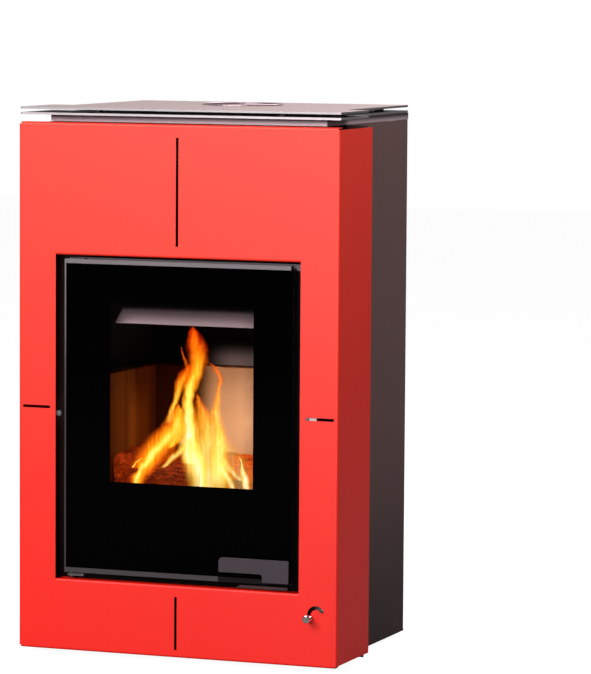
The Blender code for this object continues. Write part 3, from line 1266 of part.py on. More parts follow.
def make_air_control():
    angle = math.radians(CONTROL_REST_ANGLE)
    stem = Vector((CONTROL_X + CONTROL_RADIUS * math.cos(angle), 0.0,
                   CONTROL_Z + CONTROL_RADIUS * math.sin(angle)))
    knob_back = KNOB_LENGTH - KNOB_REACH
    r = KNOB_RADIUS
    waist, flare = r * 0.62, r * 0.8
    step, front = KNOB_LENGTH / 16, -KNOB_REACH
    profile = [(0.0, front), (r * 0.73, front), (r * 0.92, front + 0.8 * step), (r, front + 2 * step),
               (r, front + 6 * step), (r * 0.9, front + 7.5 * step), (waist, front + 9.5 * step),
               (waist, knob_back - 3 * step), (flare, knob_back - step), (flare, knob_back), (0.0, knob_back)]
    add_piece("air_control_knob", turned(profile, stem, "Y", 28), "polished_steel", CONTROL_AXIS, smooth=True)
    outline = teardrop((CONTROL_X, CONTROL_Z), CONTROL_SHAFT_RADIUS + CRANK_HUB, (stem.x, stem.z),
                       CONTROL_STEM_RADIUS + CRANK_EYE, 10)
    crank = add_piece("air_control_crank",
                      plate(outline, [], facing_front(CRANK_Y), (0.0, CRANK_THICKNESS, 0.0)),
                      "zinc_steel", CONTROL_AXIS)
    join(crank, "stem", rod(CONTROL_STEM_RADIUS, knob_back + GAP, CRANK_Y + CRANK_THICKNESS / 2,
                            Vector((stem.x, 0.0, stem.z)), "Y", 16))
    shaft_r, collar_r = CONTROL_SHAFT_RADIUS, CONTROL_SHAFT_RADIUS + CONTROL_SHAFT_COLLAR
    front, behind = CRANK_Y + CRANK_THICKNESS / 2, VALVE_PLATE_Y + VALVE_PLATE_THICKNESS + GAP
    end = behind + CONTROL_COLLAR_LENGTH
    shaft = [(0.0, front), (shaft_r, front), (shaft_r, behind), (collar_r, behind), (collar_r, end), (0.0, end)]
    join(crank, "shaft", turned(shaft, Vector((CONTROL_X, 0.0, CONTROL_Z)), "Y", 20))
    hub = CONTROL_SHAFT_RADIUS + SHUTTER_HUB
    low, high = 180.0 - SHUTTER_HALF_ANGLE, 180.0 + SHUTTER_HALF_ANGLE
    centre = (CONTROL_X, CONTROL_Z)
    outline = arc(centre, SHUTTER_RADIUS, low, high, 10) + arc(centre, hub, high, low + 360.0, 12)
    hole = circle(centre, CONTROL_SHAFT_RADIUS + GAP, 20)
    front = VALVE_PLATE_Y - GAP - SHUTTER_THICKNESS
    add_piece("air_shutter", plate(outline, [hole], facing_front(front), (0.0, SHUTTER_THICKNESS, 0.0)),
              "zinc_steel", CONTROL_AXIS)


def make_air_valve_plate():
    margin = VALVE_PLATE_MARGIN
    outer = rounded_rectangle(DUCT_LEFT, CONTROL_X + VALVE_PLATE_RIGHT, DUCT_BOTTOM - margin, DUCT_TOP + margin,
                              VALVE_PLATE_CORNER, 3)
    holes = [circle((CONTROL_X, CONTROL_Z), CONTROL_SHAFT_RADIUS + RUNNING, 20),
             circle((VALVE_HOLE_X, CONTROL_Z), VALVE_HOLE_RADIUS, 20)]
    bm = plate(outer, holes, facing_front(VALVE_PLATE_Y), (0.0, VALVE_PLATE_THICKNESS, 0.0))
    add_piece("air_valve_plate", bm, "zinc_steel")


def make_air_duct():
    """A channel along the right side, from the air box to the hand valve."""
    duct = add_piece("air_duct", block((DUCT_LEFT, DUCT_RIGHT), (DUCT_FRONT, DUCT_BACK), (DUCT_BOTTOM, DUCT_TOP)),
                     "zinc_steel")
    cut(duct, "inside", block((DUCT_LEFT + SHEET, DUCT_RIGHT - SHEET), (DUCT_FRONT - OVERCUT, DUCT_BACK - SHEET),
                              (DUCT_BOTTOM + SHEET, DUCT_TOP - SHEET)))
    cut(duct, "port", block((DUCT_LEFT - OVERCUT, DUCT_LEFT + OVERCUT), air_port()[0], air_port()[1]))


def air_outlet():
    """The (low, high) of x and of z of the hole between the air box and the firebox."""
    return ((-AIR_OUTLET_HALF_WIDTH, AIR_OUTLET_HALF_WIDTH),
            (SHELL_FLOOR + AIR_OUTLET_BOTTOM, HEARTH_BOTTOM - AIR_OUTLET_TOP))


def air_port():
    """The (low, high) of y and of z of the port between the air box and the duct."""
    return ((SHELL_BACK + AIR_PORT_INSET, AIR_BOX_BACK - AIR_PORT_INSET),
            (COLLAR_Z - AIR_BOX_HALF_HEIGHT + AIR_PORT_MARGIN, DUCT_TOP - AIR_PORT_MARGIN))


def make_air_box():
    """The closed box between the inlet collar and the firebox."""
    front = SHELL_BACK + GAP
    low, high = COLLAR_Z - AIR_BOX_HALF_HEIGHT, COLLAR_Z + AIR_BOX_HALF_HEIGHT
    box = add_piece("air_box", block((-AIR_BOX_LEFT, AIR_BOX_RIGHT), (front, AIR_BOX_BACK), (low, high)),
                    "zinc_steel")
    cut(box, "inside", block((-AIR_BOX_LEFT + SHEET, AIR_BOX_RIGHT - SHEET), (front + SHEET, AIR_BOX_BACK - SHEET),
                             (low + SHEET, high - SHEET)))
    cut(box, "inlet", rod(COLLAR_RADIUS + 2 * GAP, AIR_BOX_BACK - OVERCUT, AIR_BOX_BACK + OVERCUT,
                          Vector((0.0, 0.0, COLLAR_Z)), "Y", ROUND_STEPS))
    outlet_x, outlet_z = air_outlet()
    cut(box, "outlet", block(outlet_x, (front - OVERCUT, front + OVERCUT), outlet_z))
    cut(box, "port", block((AIR_BOX_RIGHT - OVERCUT, AIR_BOX_RIGHT + OVERCUT), air_port()[0], air_port()[1]))


# Inlet collar, throttle flap and servo

def make_air_collar():
    inner, outer = COLLAR_RADIUS - COLLAR_WALL, COLLAR_RADIUS
    start = AIR_BOX_BACK - COLLAR_INNER
    bead, edge = SERVICE_BACK + GAP, COLLAR_EDGE
    profile = [(inner, start), (outer, start), (outer, bead), (outer + COLLAR_BEAD, bead), (outer, bead + COLLAR_BEAD),
               (outer, COLLAR_RIM - edge), (outer - edge, COLLAR_RIM), (inner + edge, COLLAR_RIM),
               (inner, COLLAR_RIM - edge)]
    collar = add_piece("air_collar", turned(profile, Vector((0.0, 0.0, COLLAR_Z)), "Y", ROUND_STEPS), "black_paint",
                       smooth=True)
    cut(collar, "shaft", rod(FLAP_SHAFT_RADIUS + RUNNING, -COLLAR_RADIUS - OVERCUT, COLLAR_RADIUS + OVERCUT,
                             FLAP_AXIS, "X", 20))


def make_throttle_flap():
    """The disc, shown open and level, the shaft under it and the coupling on the shaft's end."""
    radius = COLLAR_RADIUS - COLLAR_WALL - FLAP_CLEARANCE
    low = FLAP_SHAFT_RADIUS + GAP
    disc = [(0.0, low), (radius, low), (radius, low + FLAP_THICKNESS), (0.0, low + FLAP_THICKNESS)]
    add_piece("throttle_flap", turned(disc, FLAP_AXIS, "Z", ROUND_STEPS), "burnt_steel", FLAP_AXIS)
    r = FLAP_SHAFT_RADIUS
    start = BRACKET_SHEET - BRACKET_WEB_X + SERVO_BOSS_PROUD + 2 * GAP
    clip, rim = COLLAR_RADIUS + 2 * GAP, r + SHAFT_CLIP_WIDTH
    shaft = [(0.0, start), (r, start), (r, clip), (rim, clip), (rim, clip + SHAFT_CLIP_WIDTH),
             (r, clip + SHAFT_CLIP_WIDTH), (r, clip + SHAFT_END), (0.0, clip + SHAFT_END)]
    add_piece("flap_shaft", turned(shaft, FLAP_AXIS, "X", 20), "burnt_steel", FLAP_AXIS, smooth=True)
    centre = (FLAP_Y, COLLAR_Z)
    tip = (FLAP_Y + HORN_TIP_Y, COLLAR_Z + HORN_TIP_Z)
    outline = teardrop(centre, HORN_RADIUS, tip, HORN_TIP_RADIUS, 12)
    hole = circle(centre, r + GAP, 20)
    horn = plate(outline, [hole], facing_side(start + HORN_OVERLAP), (HORN_THICKNESS, 0.0, 0.0))
    bevel(add_piece("servo_horn", horn, "horn_brown", FLAP_AXIS), HORN_OVERLAP * 0.8, 1, 50.0)


def make_servo_bracket():
    """A bent strip whose two arms reach the collar and whose web carries the servo."""
    def arm_end(offset):
        return -math.sqrt(COLLAR_RADIUS ** 2 - offset ** 2) - 2 * GAP

    up, down = COLLAR_Z + BRACKET_UP, COLLAR_Z - BRACKET_DOWN
    points = [
        (arm_end(BRACKET_UP - BRACKET_SHEET), up),
        (-BRACKET_WEB_X, up),
        (-BRACKET_WEB_X, down),
        (arm_end(BRACKET_DOWN - BRACKET_SHEET), down),
    ]
    front = FLAP_Y - BRACKET_WIDTH / 2
    bm = bent_strip(points, facing_front(front), (0.0, BRACKET_WIDTH, 0.0), BRACKET_BEND)
    face_outwards(bm, (-1.0, 0.0, 0.0))
    bracket = add_piece("servo_bracket", bm, "bracket_steel")
    thicken(bracket, BRACKET_SHEET)
    cut(bracket, "output", rod(SERVO_BOSS_RADIUS + SERVO_BOSS_CLEARANCE, -BRACKET_WEB_X - OVERCUT, -BRACKET_WEB_X + OVERCUT,
                               FLAP_AXIS, "X", 20))


def make_servo():
    near_web = -BRACKET_WEB_X - GAP
    middle = COLLAR_Z + SERVO_OUTPUT_OFFSET
    half_y, half_z = SERVO_WIDTH / 2, SERVO_LENGTH / 2
    case = block((near_web - SERVO_HEIGHT, near_web), (FLAP_Y - half_y, FLAP_Y + half_y),
                 (middle - half_z, middle + half_z))
    servo = add_piece("servo_body", case, "servo_black")
    bevel(servo, SERVO_EDGE, 2)
    half_span = SERVO_LUG_SPAN / 2
    lug_y = half_y - SERVO_LUG_INSET
    join(servo, "lugs", block((near_web - SERVO_LUG, near_web), (FLAP_Y - lug_y, FLAP_Y + lug_y),
                              (middle - half_span, middle + half_span)))
    proud = BRACKET_SHEET - BRACKET_WEB_X + SERVO_BOSS_PROUD
    join(servo, "output", rod(SERVO_BOSS_RADIUS, near_web - SERVO_LUG / 2, proud, FLAP_AXIS, "X", 20))


def make_panel_nuts():
    """Lock nuts on studs, with hexagons whose flats run into a round collar."""
    back = SERVICE_BACK + GAP
    for name, side in (("left", -1.0), ("right", 1.0)):
        bm = bmesh.new()
        middle = Vector((side * STUD_X, 0.0, COLLAR_Z))
        flat = NUT_CORNER_RADIUS * math.cos(math.radians(30))
        levels = [
            (AIR_BOX_BACK + GAP, STUD_RADIUS, STUD_RADIUS),
            (back, STUD_RADIUS, STUD_RADIUS),
            (back, NUT_CORNER_RADIUS, flat),
            (back + NUT_HEIGHT * 0.7, NUT_CORNER_RADIUS, flat),
            (back + NUT_HEIGHT * 0.8, flat * 0.93, flat * 0.93),
            (back + NUT_HEIGHT, flat * 0.8, flat * 0.8),
            (back + NUT_HEIGHT, STUD_RADIUS, STUD_RADIUS),
            (back + NUT_HEIGHT + STUD_END, STUD_RADIUS, STUD_RADIUS),
        ]
        rings = []
        for y, corner, between in levels:
            ring = []
            for index in range(12):
                angle = math.radians(30.0 * index)
                radius = corner if index % 2 == 0 else between
                ring.append(bm.verts.new(middle + Vector((radius * math.cos(angle), y, radius * math.sin(angle)))))
            rings.append(ring)
        for before, ring in zip(rings, rings[1:]):
            for index in range(12):
                bm.faces.new((before[index - 1], before[index], ring[index], ring[index - 1]))
        bm.faces.new(rings[0])
        bm.faces.new(rings[-1])
        bmesh.ops.recalc_face_normals(bm, faces=bm.faces[:])
        add_piece(f"panel_nut_{name}", bm, "zinc_steel")


def lead_path():
    """Down from the servo, then a quarter bend into the gland on the rear panel."""
    x = -BRACKET_WEB_X - SERVO_HEIGHT + LEAD_FROM_END
    end_y = BODY_DEPTH + GAP + GLAND_HEIGHT + GAP
    y = end_y + LEAD_BEND
    top = COLLAR_Z + SERVO_OUTPUT_OFFSET - SERVO_LENGTH / 2 - GAP
    straight = 12
    low = LEAD_Z + LEAD_BEND
    points = [(x, y, top + (low - top) * index / straight) for index in range(straight)]
    for a, b in arc((end_y, low), LEAD_BEND, 0.0, -90.0, 8):
        points.append((x, a, b))
    return points


def make_servo_lead():
    route = lead_path()
    curve = bpy.data.curves.new("servo_lead", "CURVE")
    curve.dimensions = "3D"
    curve.bevel_depth = LEAD_RADIUS
    curve.bevel_resolution = 2
    curve.use_fill_caps = True
    line = curve.splines.new("POLY")
    line.points.add(len(route) - 1)
    for point, place in zip(line.points, route):
        point.co = (*place, 1.0)
    add_object("servo_lead", curve, FIXED, "black_rubber")
    x = route[-1][0]
    face = BODY_DEPTH + GAP
    wide, height = GLAND_RADIUS, GLAND_HEIGHT
    profile = [(0.0, face), (wide, face), (wide, face + height * 0.4), (wide * 0.7, face + height * 0.55),
               (wide * 0.5, face + height), (0.0, face + height)]
    add_piece("lead_gland", turned(profile, Vector((x, 0.0, LEAD_Z)), "Y", 20), "black_rubber", smooth=True)


# Ash pan

def make_ash_pan():
    bm = bmesh.new()
    half, low, high = PAN_HALF_WIDTH, PAN_BOTTOM, PAN_BOTTOM + PAN_HEIGHT
    grip_z = high - PAN_GRIP_DROP
    grip = rounded_rectangle(-PAN_GRIP_WIDTH / 2, PAN_GRIP_WIDTH / 2, grip_z - PAN_GRIP_HEIGHT / 2,
                             grip_z + PAN_GRIP_HEIGHT / 2, PAN_GRIP_HEIGHT / 2.2, 4)
    flat_face(bm, rectangle(-half, half, low, high), [grip], facing_front(PAN_FRONT))
    back = Vector((0.0, PAN_BACK - PAN_FRONT, 0.0))

    def below_rim(p):
        return near(abs(p.x), half) or near(p.z, low)

    edges = [e for e in boundary(bm, below_rim) if not all(near(v.co.z, high) for v in e.verts)]
    fold(bm, edges, [back])
    corners = {}
    for vert in bm.verts:
        if near(vert.co.y, PAN_BACK):
            corners[(vert.co.x > 0.0, vert.co.z > (low + high) / 2)] = vert
    bm.faces.new((corners[(False, False)], corners[(True, False)], corners[(True, True)], corners[(False, True)]))
    face_outwards(bm, (0.0, 0.0, -1.0))
    thicken(add_piece("ash_pan", bm, "zinc_steel", Vector((0.0, PAN_FRONT, PAN_BOTTOM))), SHEET)


def make_finishes():
    return {
        "enamel_red": make_material("enamel_red", (0.90, 0.024, 0.014), 0.38, 0.0),
        "casing_paint": make_material("casing_paint", (0.13, 0.08, 0.075), 0.5, 0.2),
        "rear_grey": make_material("rear_grey", (0.24, 0.21, 0.21), 0.5, 0.3),
        "vent_black": make_material("vent_black", (0.015, 0.015, 0.015), 0.55, 0.2),
        "satin_steel": make_material("satin_steel", (0.66, 0.56, 0.56), 0.3, 0.9),
        "zinc_steel": make_material("zinc_steel", (0.55, 0.55, 0.56), 0.35, 0.9),
        "black_steel": make_material("black_steel", (0.02, 0.02, 0.02), 0.6, 0.3),
        "black_paint": make_material("black_paint", (0.012, 0.012, 0.012), 0.5, 0.1),
        "black_glass": make_material("black_glass", (0.01, 0.01, 0.01), 0.05, 0.0, 0.45),
        "black_rubber": make_material("black_rubber", (0.02, 0.02, 0.02), 0.8, 0.0),
        "trim_grey": make_material("trim_grey", (0.22, 0.18, 0.20), 0.4, 0.4),
        "handle_grey": make_material("handle_grey", (0.07, 0.055, 0.065), 0.45, 0.4),
        "firebrick": make_material("firebrick", (0.62, 0.42, 0.26), 0.9, 0.0),
        "dark_brick": make_material("dark_brick", (0.10, 0.09, 0.085), 0.9, 0.0),
        "cast_iron": make_material("cast_iron", (0.05, 0.048, 0.047), 0.7, 0.6),
        "seal_rope": make_material("seal_rope", (0.10, 0.10, 0.10), 0.95, 0.0),
        "polished_steel": make_material("polished_steel", (0.80, 0.74, 0.70), 0.15, 1.0),
        "burnt_steel": make_material("burnt_steel", (0.32, 0.26, 0.24), 0.35, 0.9),
        "bracket_steel": make_material("bracket_steel", (0.42, 0.38, 0.37), 0.35, 0.9),
        "horn_brown": make_material("horn_brown", (0.16, 0.11, 0.085), 0.6, 0.1),
        "servo_black": make_material("servo_black", (0.03, 0.03, 0.032), 0.45, 0.0),
    }


def make_stove():
    make_front_surround()
    left = (-OPENING_HALF_WIDTH - CLIP_LEFT_FROM_OPENING, SIDE_SLIT_HEIGHT - CLIP_LEFT_DROP)
    right = (OPENING_HALF_WIDTH + CLIP_RIGHT_FROM_OPENING, SIDE_SLIT_HEIGHT - CLIP_RIGHT_DROP)
    make_surround_clip("surround_clip_left", left, -1.0)
    make_surround_clip("surround_clip_right", right, 1.0)
    make_casing_side("casing_side_left", -1.0)
    make_casing_side("casing_side_right", 1.0)
    make_rear_panel()
    make_rear_vent_frame()
    make_service_panel()
    make_base()
    make_feet()
    make_top_cover()
    make_top_plates()
    make_flue_collar()
    make_firebox_shell()
    make_firebox_front()
    make_frame_top_rail()
    make_hearth()
    make_fire_grate()
    make_firebricks()
    make_air_wash_plate()
    make_door_frame()
    make_glass()
    make_glass_gasket()
    make_glass_retainer()
    make_door_seal()
    make_hinges()
    make_door_handle()
    make_latch_spindle()
    make_latch_keeper()
    make_air_control()
    make_air_valve_plate()
    make_air_duct()
    make_air_box()
    make_air_collar()
    make_throttle_flap()
    make_servo_bracket()
    make_servo()
    make_panel_nuts()
    make_servo_lead()
    make_ash_pan()


clear_scene()
STOVE = make_origin()
FINISHES = make_finishes()
make_stove()
bpy.context.view_layer.update()
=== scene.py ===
"""Looks of the wood stove: finishes for its solids, small fixings, the fire, and a plain pale studio."""

import math

import bmesh
import bpy
from mathutils import Euler, Matrix, Vector, noise


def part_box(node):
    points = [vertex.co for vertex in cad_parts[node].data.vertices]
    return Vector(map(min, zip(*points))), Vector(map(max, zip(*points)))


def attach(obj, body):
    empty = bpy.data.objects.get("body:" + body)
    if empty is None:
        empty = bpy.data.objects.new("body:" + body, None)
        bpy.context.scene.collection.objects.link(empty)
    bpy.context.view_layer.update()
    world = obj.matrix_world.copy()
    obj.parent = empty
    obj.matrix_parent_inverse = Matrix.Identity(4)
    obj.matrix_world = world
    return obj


# All lengths are in metres. The face of the surround is at y = FRONT_Y, and depths count from it.
FRONT_Y = -0.268
BODY_DEPTH = 0.488

# The camera, from the photo's perspective
CAMERA_PLACE = (2.7660, -6.9063, 1.2433)
CAMERA_YAW = 20.8947
CAMERA_PITCH = 5.1031
CAMERA_ROLL = 0.3747
CAMERA_FOCAL_PX = 3967.65
PHOTO_HEIGHT_PX = 674
SENSOR_MM = 36.0

# The clear window in the printed pane, and the shade of the handle on the trim
PRINT_LEFT = -0.1335
PRINT_RIGHT = 0.1500
PRINT_LOW = 0.3275
PRINT_HIGH = 0.6580
HANDLE_SHADE_SHIFT = 0.007
HANDLE_SHADE_RISE = 0.013

# Top and rear
NECK_FOOT = 0.986
SPACER_FOOT = 1.0035
CLIP_TAB = 0.020
COLLAR_Z = 0.205
COLLAR_RIM = 0.556
SERVO_WEB_X = -0.0723
SERVO_Y = 0.505
SERVO_RISE = 0.010
REAR_SCREW_X = 0.258
REAR_SCREW_SIDE_HEIGHTS = (0.040, 0.345, 0.660, 0.955)
REAR_SCREW_TOP_PLACES = (-0.130, 0.0, 0.130)
REAR_SCREW_TOP_HEIGHT = 0.968

# The firebox and the fire in it
BRICK_JOINT = 0.138
BACK_WALL_DEPTH = 0.400
GLOW_LEFT = -0.080
GLOW_LOW = 0.516
GLOW_HIGH = 0.562
GRATE_Y = 0.185
EMBER_FOOT = 0.2815
EMBER_HALF_WIDTH = 0.135
EMBER_HALF_DEPTH = 0.095
FLAME_REACH = 0.2
FLAME_WIDEST = 0.06

# How a grain is stretched, along x, y and z, to run along x
BRUSHED = (6.0, 600.0, 600.0)


class Value:
    """One socket of a material, so that shader maths can be written as an expression."""

    def __init__(self, finish, socket):
        self.finish = finish
        self.socket = socket

    def maths(self, operation, *others):
        return self.finish.node("ShaderNodeMath", {"operation": operation}, [self, *others])

    def __add__(self, other):
        return self.maths("ADD", other)

    def __mul__(self, other):
        return self.maths("MULTIPLY", other)

    def __sub__(self, other):
        return self.maths("SUBTRACT", other)

    def __truediv__(self, other):
        return self.maths("DIVIDE", other)

    def __pow__(self, other):
        return self.maths("POWER", other)

    def __rsub__(self, other):
        return self.finish.node("ShaderNodeMath", {"operation": "SUBTRACT"}, [other, self])

    __radd__ = __add__
    __rmul__ = __mul__

    def absolute(self):
        return self.maths("ABSOLUTE")

    def smaller(self, other):
        return self.maths("MINIMUM", other)

    def larger(self, other):
        return self.maths("MAXIMUM", other)

    def sine(self):
        return self.maths("SINE")

    def between(self, low, high, out_low=0.0, out_high=1.0):
        """Runs smoothly from out_low at low to out_high at high, and stays there beyond them."""
        return self.finish.node("ShaderNodeMapRange", {"interpolation_type": "SMOOTHSTEP"},
                                [self, low, high, out_low, out_high])


class Finish:
    """A material on a Principled shader, whose patterns read Object coordinates."""

    def __init__(self, name, colour, roughness, metallic=0.0, **constants):
        self.material = bpy.data.materials.new(name)
        self.material.use_nodes = True
        self.tree = self.material.node_tree
        self.shader = self.tree.nodes["Principled BSDF"]
        self.put("Base Color", (*colour, 1.0))
        self.put("Roughness", roughness)
        self.put("Metallic", metallic)
        for socket, value in constants.items():
            self.put(socket.replace("_", " "), value)
        self.place = None

    def node(self, kind, settings=None, values=(), named=None, output=0):
        made = self.tree.nodes.new(kind)
        for key, setting in (settings or {}).items():
            setattr(made, key, setting)
        for socket, value in zip(made.inputs, values):
            self.feed(socket, value)
        for key, value in (named or {}).items():
            self.feed(made.inputs[key], value)
        return Value(self, made.outputs[output])

    def feed(self, socket, value):
        if isinstance(value, Value):
            self.tree.links.new(value.socket, socket)
        else:
            socket.default_value = value

    def put(self, name, value):
        self.feed(self.shader.inputs[name], value)

    def position(self):
        if self.place is None:
            self.place = self.node("ShaderNodeTexCoord", output=3)
        return self.place

    def axis(self, index):
        return self.node("ShaderNodeSeparateXYZ", values=[self.position()], output=index)

    def depth(self):
        """How far the place lies behind the face of the surround."""
        return self.axis(1) - FRONT_Y

    def stretched(self, scale, shift=(0.0, 0.0, 0.0)):
        """The place on the piece, scaled unevenly, for grain that runs one way."""
        return self.node("ShaderNodeMapping",
                         named={"Vector": self.position(), "Scale": scale, "Location": shift})

    def noise(self, scale, detail=3.0, roughness=0.5, place=None, distortion=0.0):
        return self.node("ShaderNodeTexNoise",
                         named={"Vector": place or self.position(), "Scale": scale, "Detail": detail,
                                "Roughness": roughness, "Distortion": distortion})

    def cells(self, scale, place=None, feature="F1", output=0):
        return self.node("ShaderNodeTexVoronoi", {"feature": feature},
                         named={"Vector": place or self.position(), "Scale": scale}, output=output)

    def blend(self, factor, first, second):
        """A colour between two colours."""
        made = self.tree.nodes.new("ShaderNodeMix")
        made.data_type = "RGBA"
        made.clamp_factor = True
        self.feed(made.inputs[0], factor)
        self.feed(made.inputs[6], first if isinstance(first, Value) else (*first, 1.0)[:4])
        self.feed(made.inputs[7], second if isinstance(second, Value) else (*second, 1.0)[:4])
        return Value(self, made.outputs[2])

    def ramp(self, factor, stops):
        made = self.tree.nodes.new("ShaderNodeValToRGB")
        while len(made.color_ramp.elements) < len(stops):
            made.color_ramp.elements.new(0.5)
        for element, (place, colour) in zip(made.color_ramp.elements, stops):
            element.position = place
            element.color = (*colour, 1.0)
        self.feed(made.inputs[0], factor)
        return Value(self, made.outputs[0])

    def line(self, value, points):
        """A smooth line through points of (place, height), both from 0 to 1."""
        made = self.tree.nodes.new("ShaderNodeFloatCurve")
        curve = made.mapping.curves[0]
        while len(curve.points) < len(points):
            curve.points.new(0.5, 0.5)
        for point, place in zip(curve.points, points):
            point.location = place
        made.mapping.update()
        self.feed(made.inputs["Value"], value)
        return Value(self, made.outputs[0])

    def bump(self, height, strength, distance=0.001):
        self.put("Normal", self.node("ShaderNodeBump", named={"Strength": strength, "Distance": distance,
                                                              "Height": height}))

    def brushing(self):
        """Fine lines along x."""
        return self.noise(1.0, 3.0, 0.6, self.stretched(BRUSHED))

    def see_through(self):
        self.material.surface_render_method = "BLENDED"
        self.material.use_transparent_shadow = True


# Finishes

def enamel():
    """Satin red, a little paler towards the top, where a painted sheen stands for the bright room it mirrors
    there.
    """
    made = Finish("red_enamel", (0.95, 0.020, 0.006), 0.46, Coat_Weight=0.12, Coat_Roughness=0.35)
    peel = made.noise(420.0, 2.0)
    drift = made.noise(3.0, 2.0)
    # Painted sheen: both the even and the worn red grow paler with height.
    height = made.axis(2).between(0.05, 0.95)
    even = made.blend(height, (0.97, 0.0090, 0.0012), (0.95, 0.032, 0.012))
    worn = made.blend(height, (0.90, 0.0075, 0.0010), (0.87, 0.028, 0.010))
    made.put("Base Color", made.blend(drift * 0.4, even, worn))
    made.put("Roughness", peel * 0.08 + 0.42)
    made.bump(peel, 0.05, 0.0004)
    return made


def casing_paint():
    """Fine-grained matte brown-grey paint, with painted shade that makes it darker near the floor."""
    made = Finish("brown_grey_casing_paint", (0.150, 0.082, 0.078), 0.66)
    fine = made.noise(1500.0, 3.0, 0.6)
    broad = made.noise(6.0, 3.0)
    mottle = fine.between(0.35, 0.65) * 0.6 + broad * 0.4
    body = made.blend(mottle, (0.165, 0.088, 0.084), (0.125, 0.065, 0.062))
    # Painted shade: the paint darkens towards the floor.
    low = made.axis(2).between(0.0, 0.45, 0.68, 0.0)
    made.put("Base Color", made.blend(low, body, (0.010, 0.004, 0.005)))
    made.put("Roughness", fine * 0.2 + 0.56)
    made.bump(fine, 0.25, 0.0003)
    return made


def textured_paint(name, light, dark, roughness, metallic=0.1):
    """Fine-grained paint with a faint mottle."""
    made = Finish(name, light, roughness, metallic)
    fine = made.noise(1500.0, 3.0, 0.6)
    broad = made.noise(6.0, 3.0)
    made.put("Base Color", made.blend(fine.between(0.35, 0.65) * 0.6 + broad * 0.4, light, dark))
    made.put("Roughness", fine * 0.2 + (roughness - 0.1))
    made.bump(fine, 0.25, 0.0003)
    return made


def satin_metal(name, light, dark, roughness, grain=BRUSHED, metallic=0.85):
    """Metal with fine lines along one axis and faint cloudy wear."""
    made = Finish(name, light, roughness, metallic)
    lines = made.noise(1.0, 3.0, 0.6, made.stretched(grain))
    cloud = made.noise(9.0, 4.0)
    made.put("Base Color", made.blend(lines * 0.6 + cloud * 0.3, light, dark))
    made.put("Roughness", lines * 0.12 + cloud * 0.10 + (roughness - 0.1))
    made.bump(lines, 0.06, 0.0002)
    return made


def top_plate():
    """Satin metal with a painted warm reflection of the room on its upper face, and a plain edge."""
    light, dark = (0.52, 0.350, 0.350), (0.42, 0.280, 0.285)
    made = satin_metal("satin_top_metal", light, dark, 0.36)
    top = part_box("top_plate_upper")[1][2]
    # Painted reflection: only the upper face takes the warm tone; the edge keeps the plain one.
    face = made.axis(2).between(top - 0.0004, top - 0.0002)
    edge = made.blend(made.brushing(), (0.46, 0.42, 0.435), (0.38, 0.345, 0.36))
    sheet = made.blend(made.brushing(), light, dark)
    made.put("Base Color", made.blend(face, edge, sheet))
    return made


def spaced_plate():
    """The lower top plate, in satin metal, with painted shade making its spacers black in the gap under the
    upper plate.
    """
    light, dark = (0.60, 0.52, 0.54), (0.50, 0.43, 0.45)
    made = satin_metal("spaced_top_metal", light, dark, 0.36)
    # Painted shade: the spacers in the gap are black and not metallic.
    spacer = made.axis(2).between(SPACER_FOOT, SPACER_FOOT + 0.0003)
    sheet = made.blend(made.brushing(), light, dark)
    made.put("Base Color", made.blend(spacer, sheet, (0.006, 0.006, 0.006)))
    made.put("Metallic", 0.85 - spacer * 0.85)
    return made


def neck_metal():
    """Satin metal that darkens upwards, into the shade of the plates above."""
    light, dark = (0.80, 0.60, 0.65), (0.70, 0.52, 0.57)
    made = satin_metal("satin_neck_metal", light, dark, 0.40, metallic=0.6)
    shade = made.axis(2).between(NECK_FOOT + 0.002, NECK_FOOT + 0.011)
    sheet = made.blend(made.brushing(), light, dark)
    made.put("Base Color", made.blend(shade, sheet, (0.070, 0.048, 0.062)))
    return made


def door_trim():
    """Grey satin paint on the strip round the pane, with painted shade darkening it down its side and under
    the handle.
    """
    made = Finish("grey_trim_paint", (0.185, 0.155, 0.17), 0.42, 0.35, Specular_IOR_Level=0.15)
    lines = made.brushing()
    cloud = made.noise(9.0, 4.0)
    worn = made.blend(lines * 0.6 + cloud * 0.3, (0.215, 0.182, 0.195), (0.172, 0.145, 0.157))
    x, z = made.axis(0), made.axis(2)
    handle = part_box("door_handle")[0]
    left, top = handle[0] - HANDLE_SHADE_SHIFT, handle[2] + HANDLE_SHADE_RISE
    under_handle = x.between(left - 0.001, left + 0.001) * z.between(top - 0.001, top + 0.001, 1.0, 0.0)
    # Painted shade: strongest low down on the strip, and nearly black under the handle.
    shade = z.between(0.45, 0.72, 0.66, 0.0).larger(under_handle * 0.97)
    made.put("Base Color", made.blend(shade, worn, (0.006, 0.005, 0.006)))
    made.put("Roughness", lines * 0.12 + 0.36 + under_handle * 0.5)
    made.bump(lines, 0.06, 0.0002)
    return made


def clip_metal():
    """Dull steel, pale on the dome of the screw, with painted shade making the tab behind it dark."""
    light, dark = (0.62, 0.56, 0.58), (0.46, 0.41, 0.43)
    made = satin_metal("dull_clip_steel", light, dark, 0.60, metallic=0.2)
    # Painted shade: the tab behind the dome is black and not metallic.
    tab = made.depth().between(CLIP_TAB - 0.0006, CLIP_TAB - 0.0001)
    dome = made.blend(made.noise(140.0, 3.0), light, dark)
    made.put("Base Color", made.blend(tab, dome, (0.012, 0.010, 0.011)))
    made.put("Metallic", 0.2 - tab * 0.2)
    return made


def zinc():
    made = Finish("zinc_plate", (0.62, 0.62, 0.63), 0.32, 0.9)
    spangle = made.cells(95.0, output=1)
    grey = made.node("ShaderNodeSeparateXYZ", values=[spangle])
    fine = made.noise(60.0, 3.0)
    made.put("Base Color", made.blend(grey * 0.7 + fine * 0.3, (0.66, 0.66, 0.68), (0.48, 0.48, 0.49)))
    made.put("Roughness", grey * 0.12 + 0.26)
    made.bump(fine, 0.05, 0.0002)
    return made


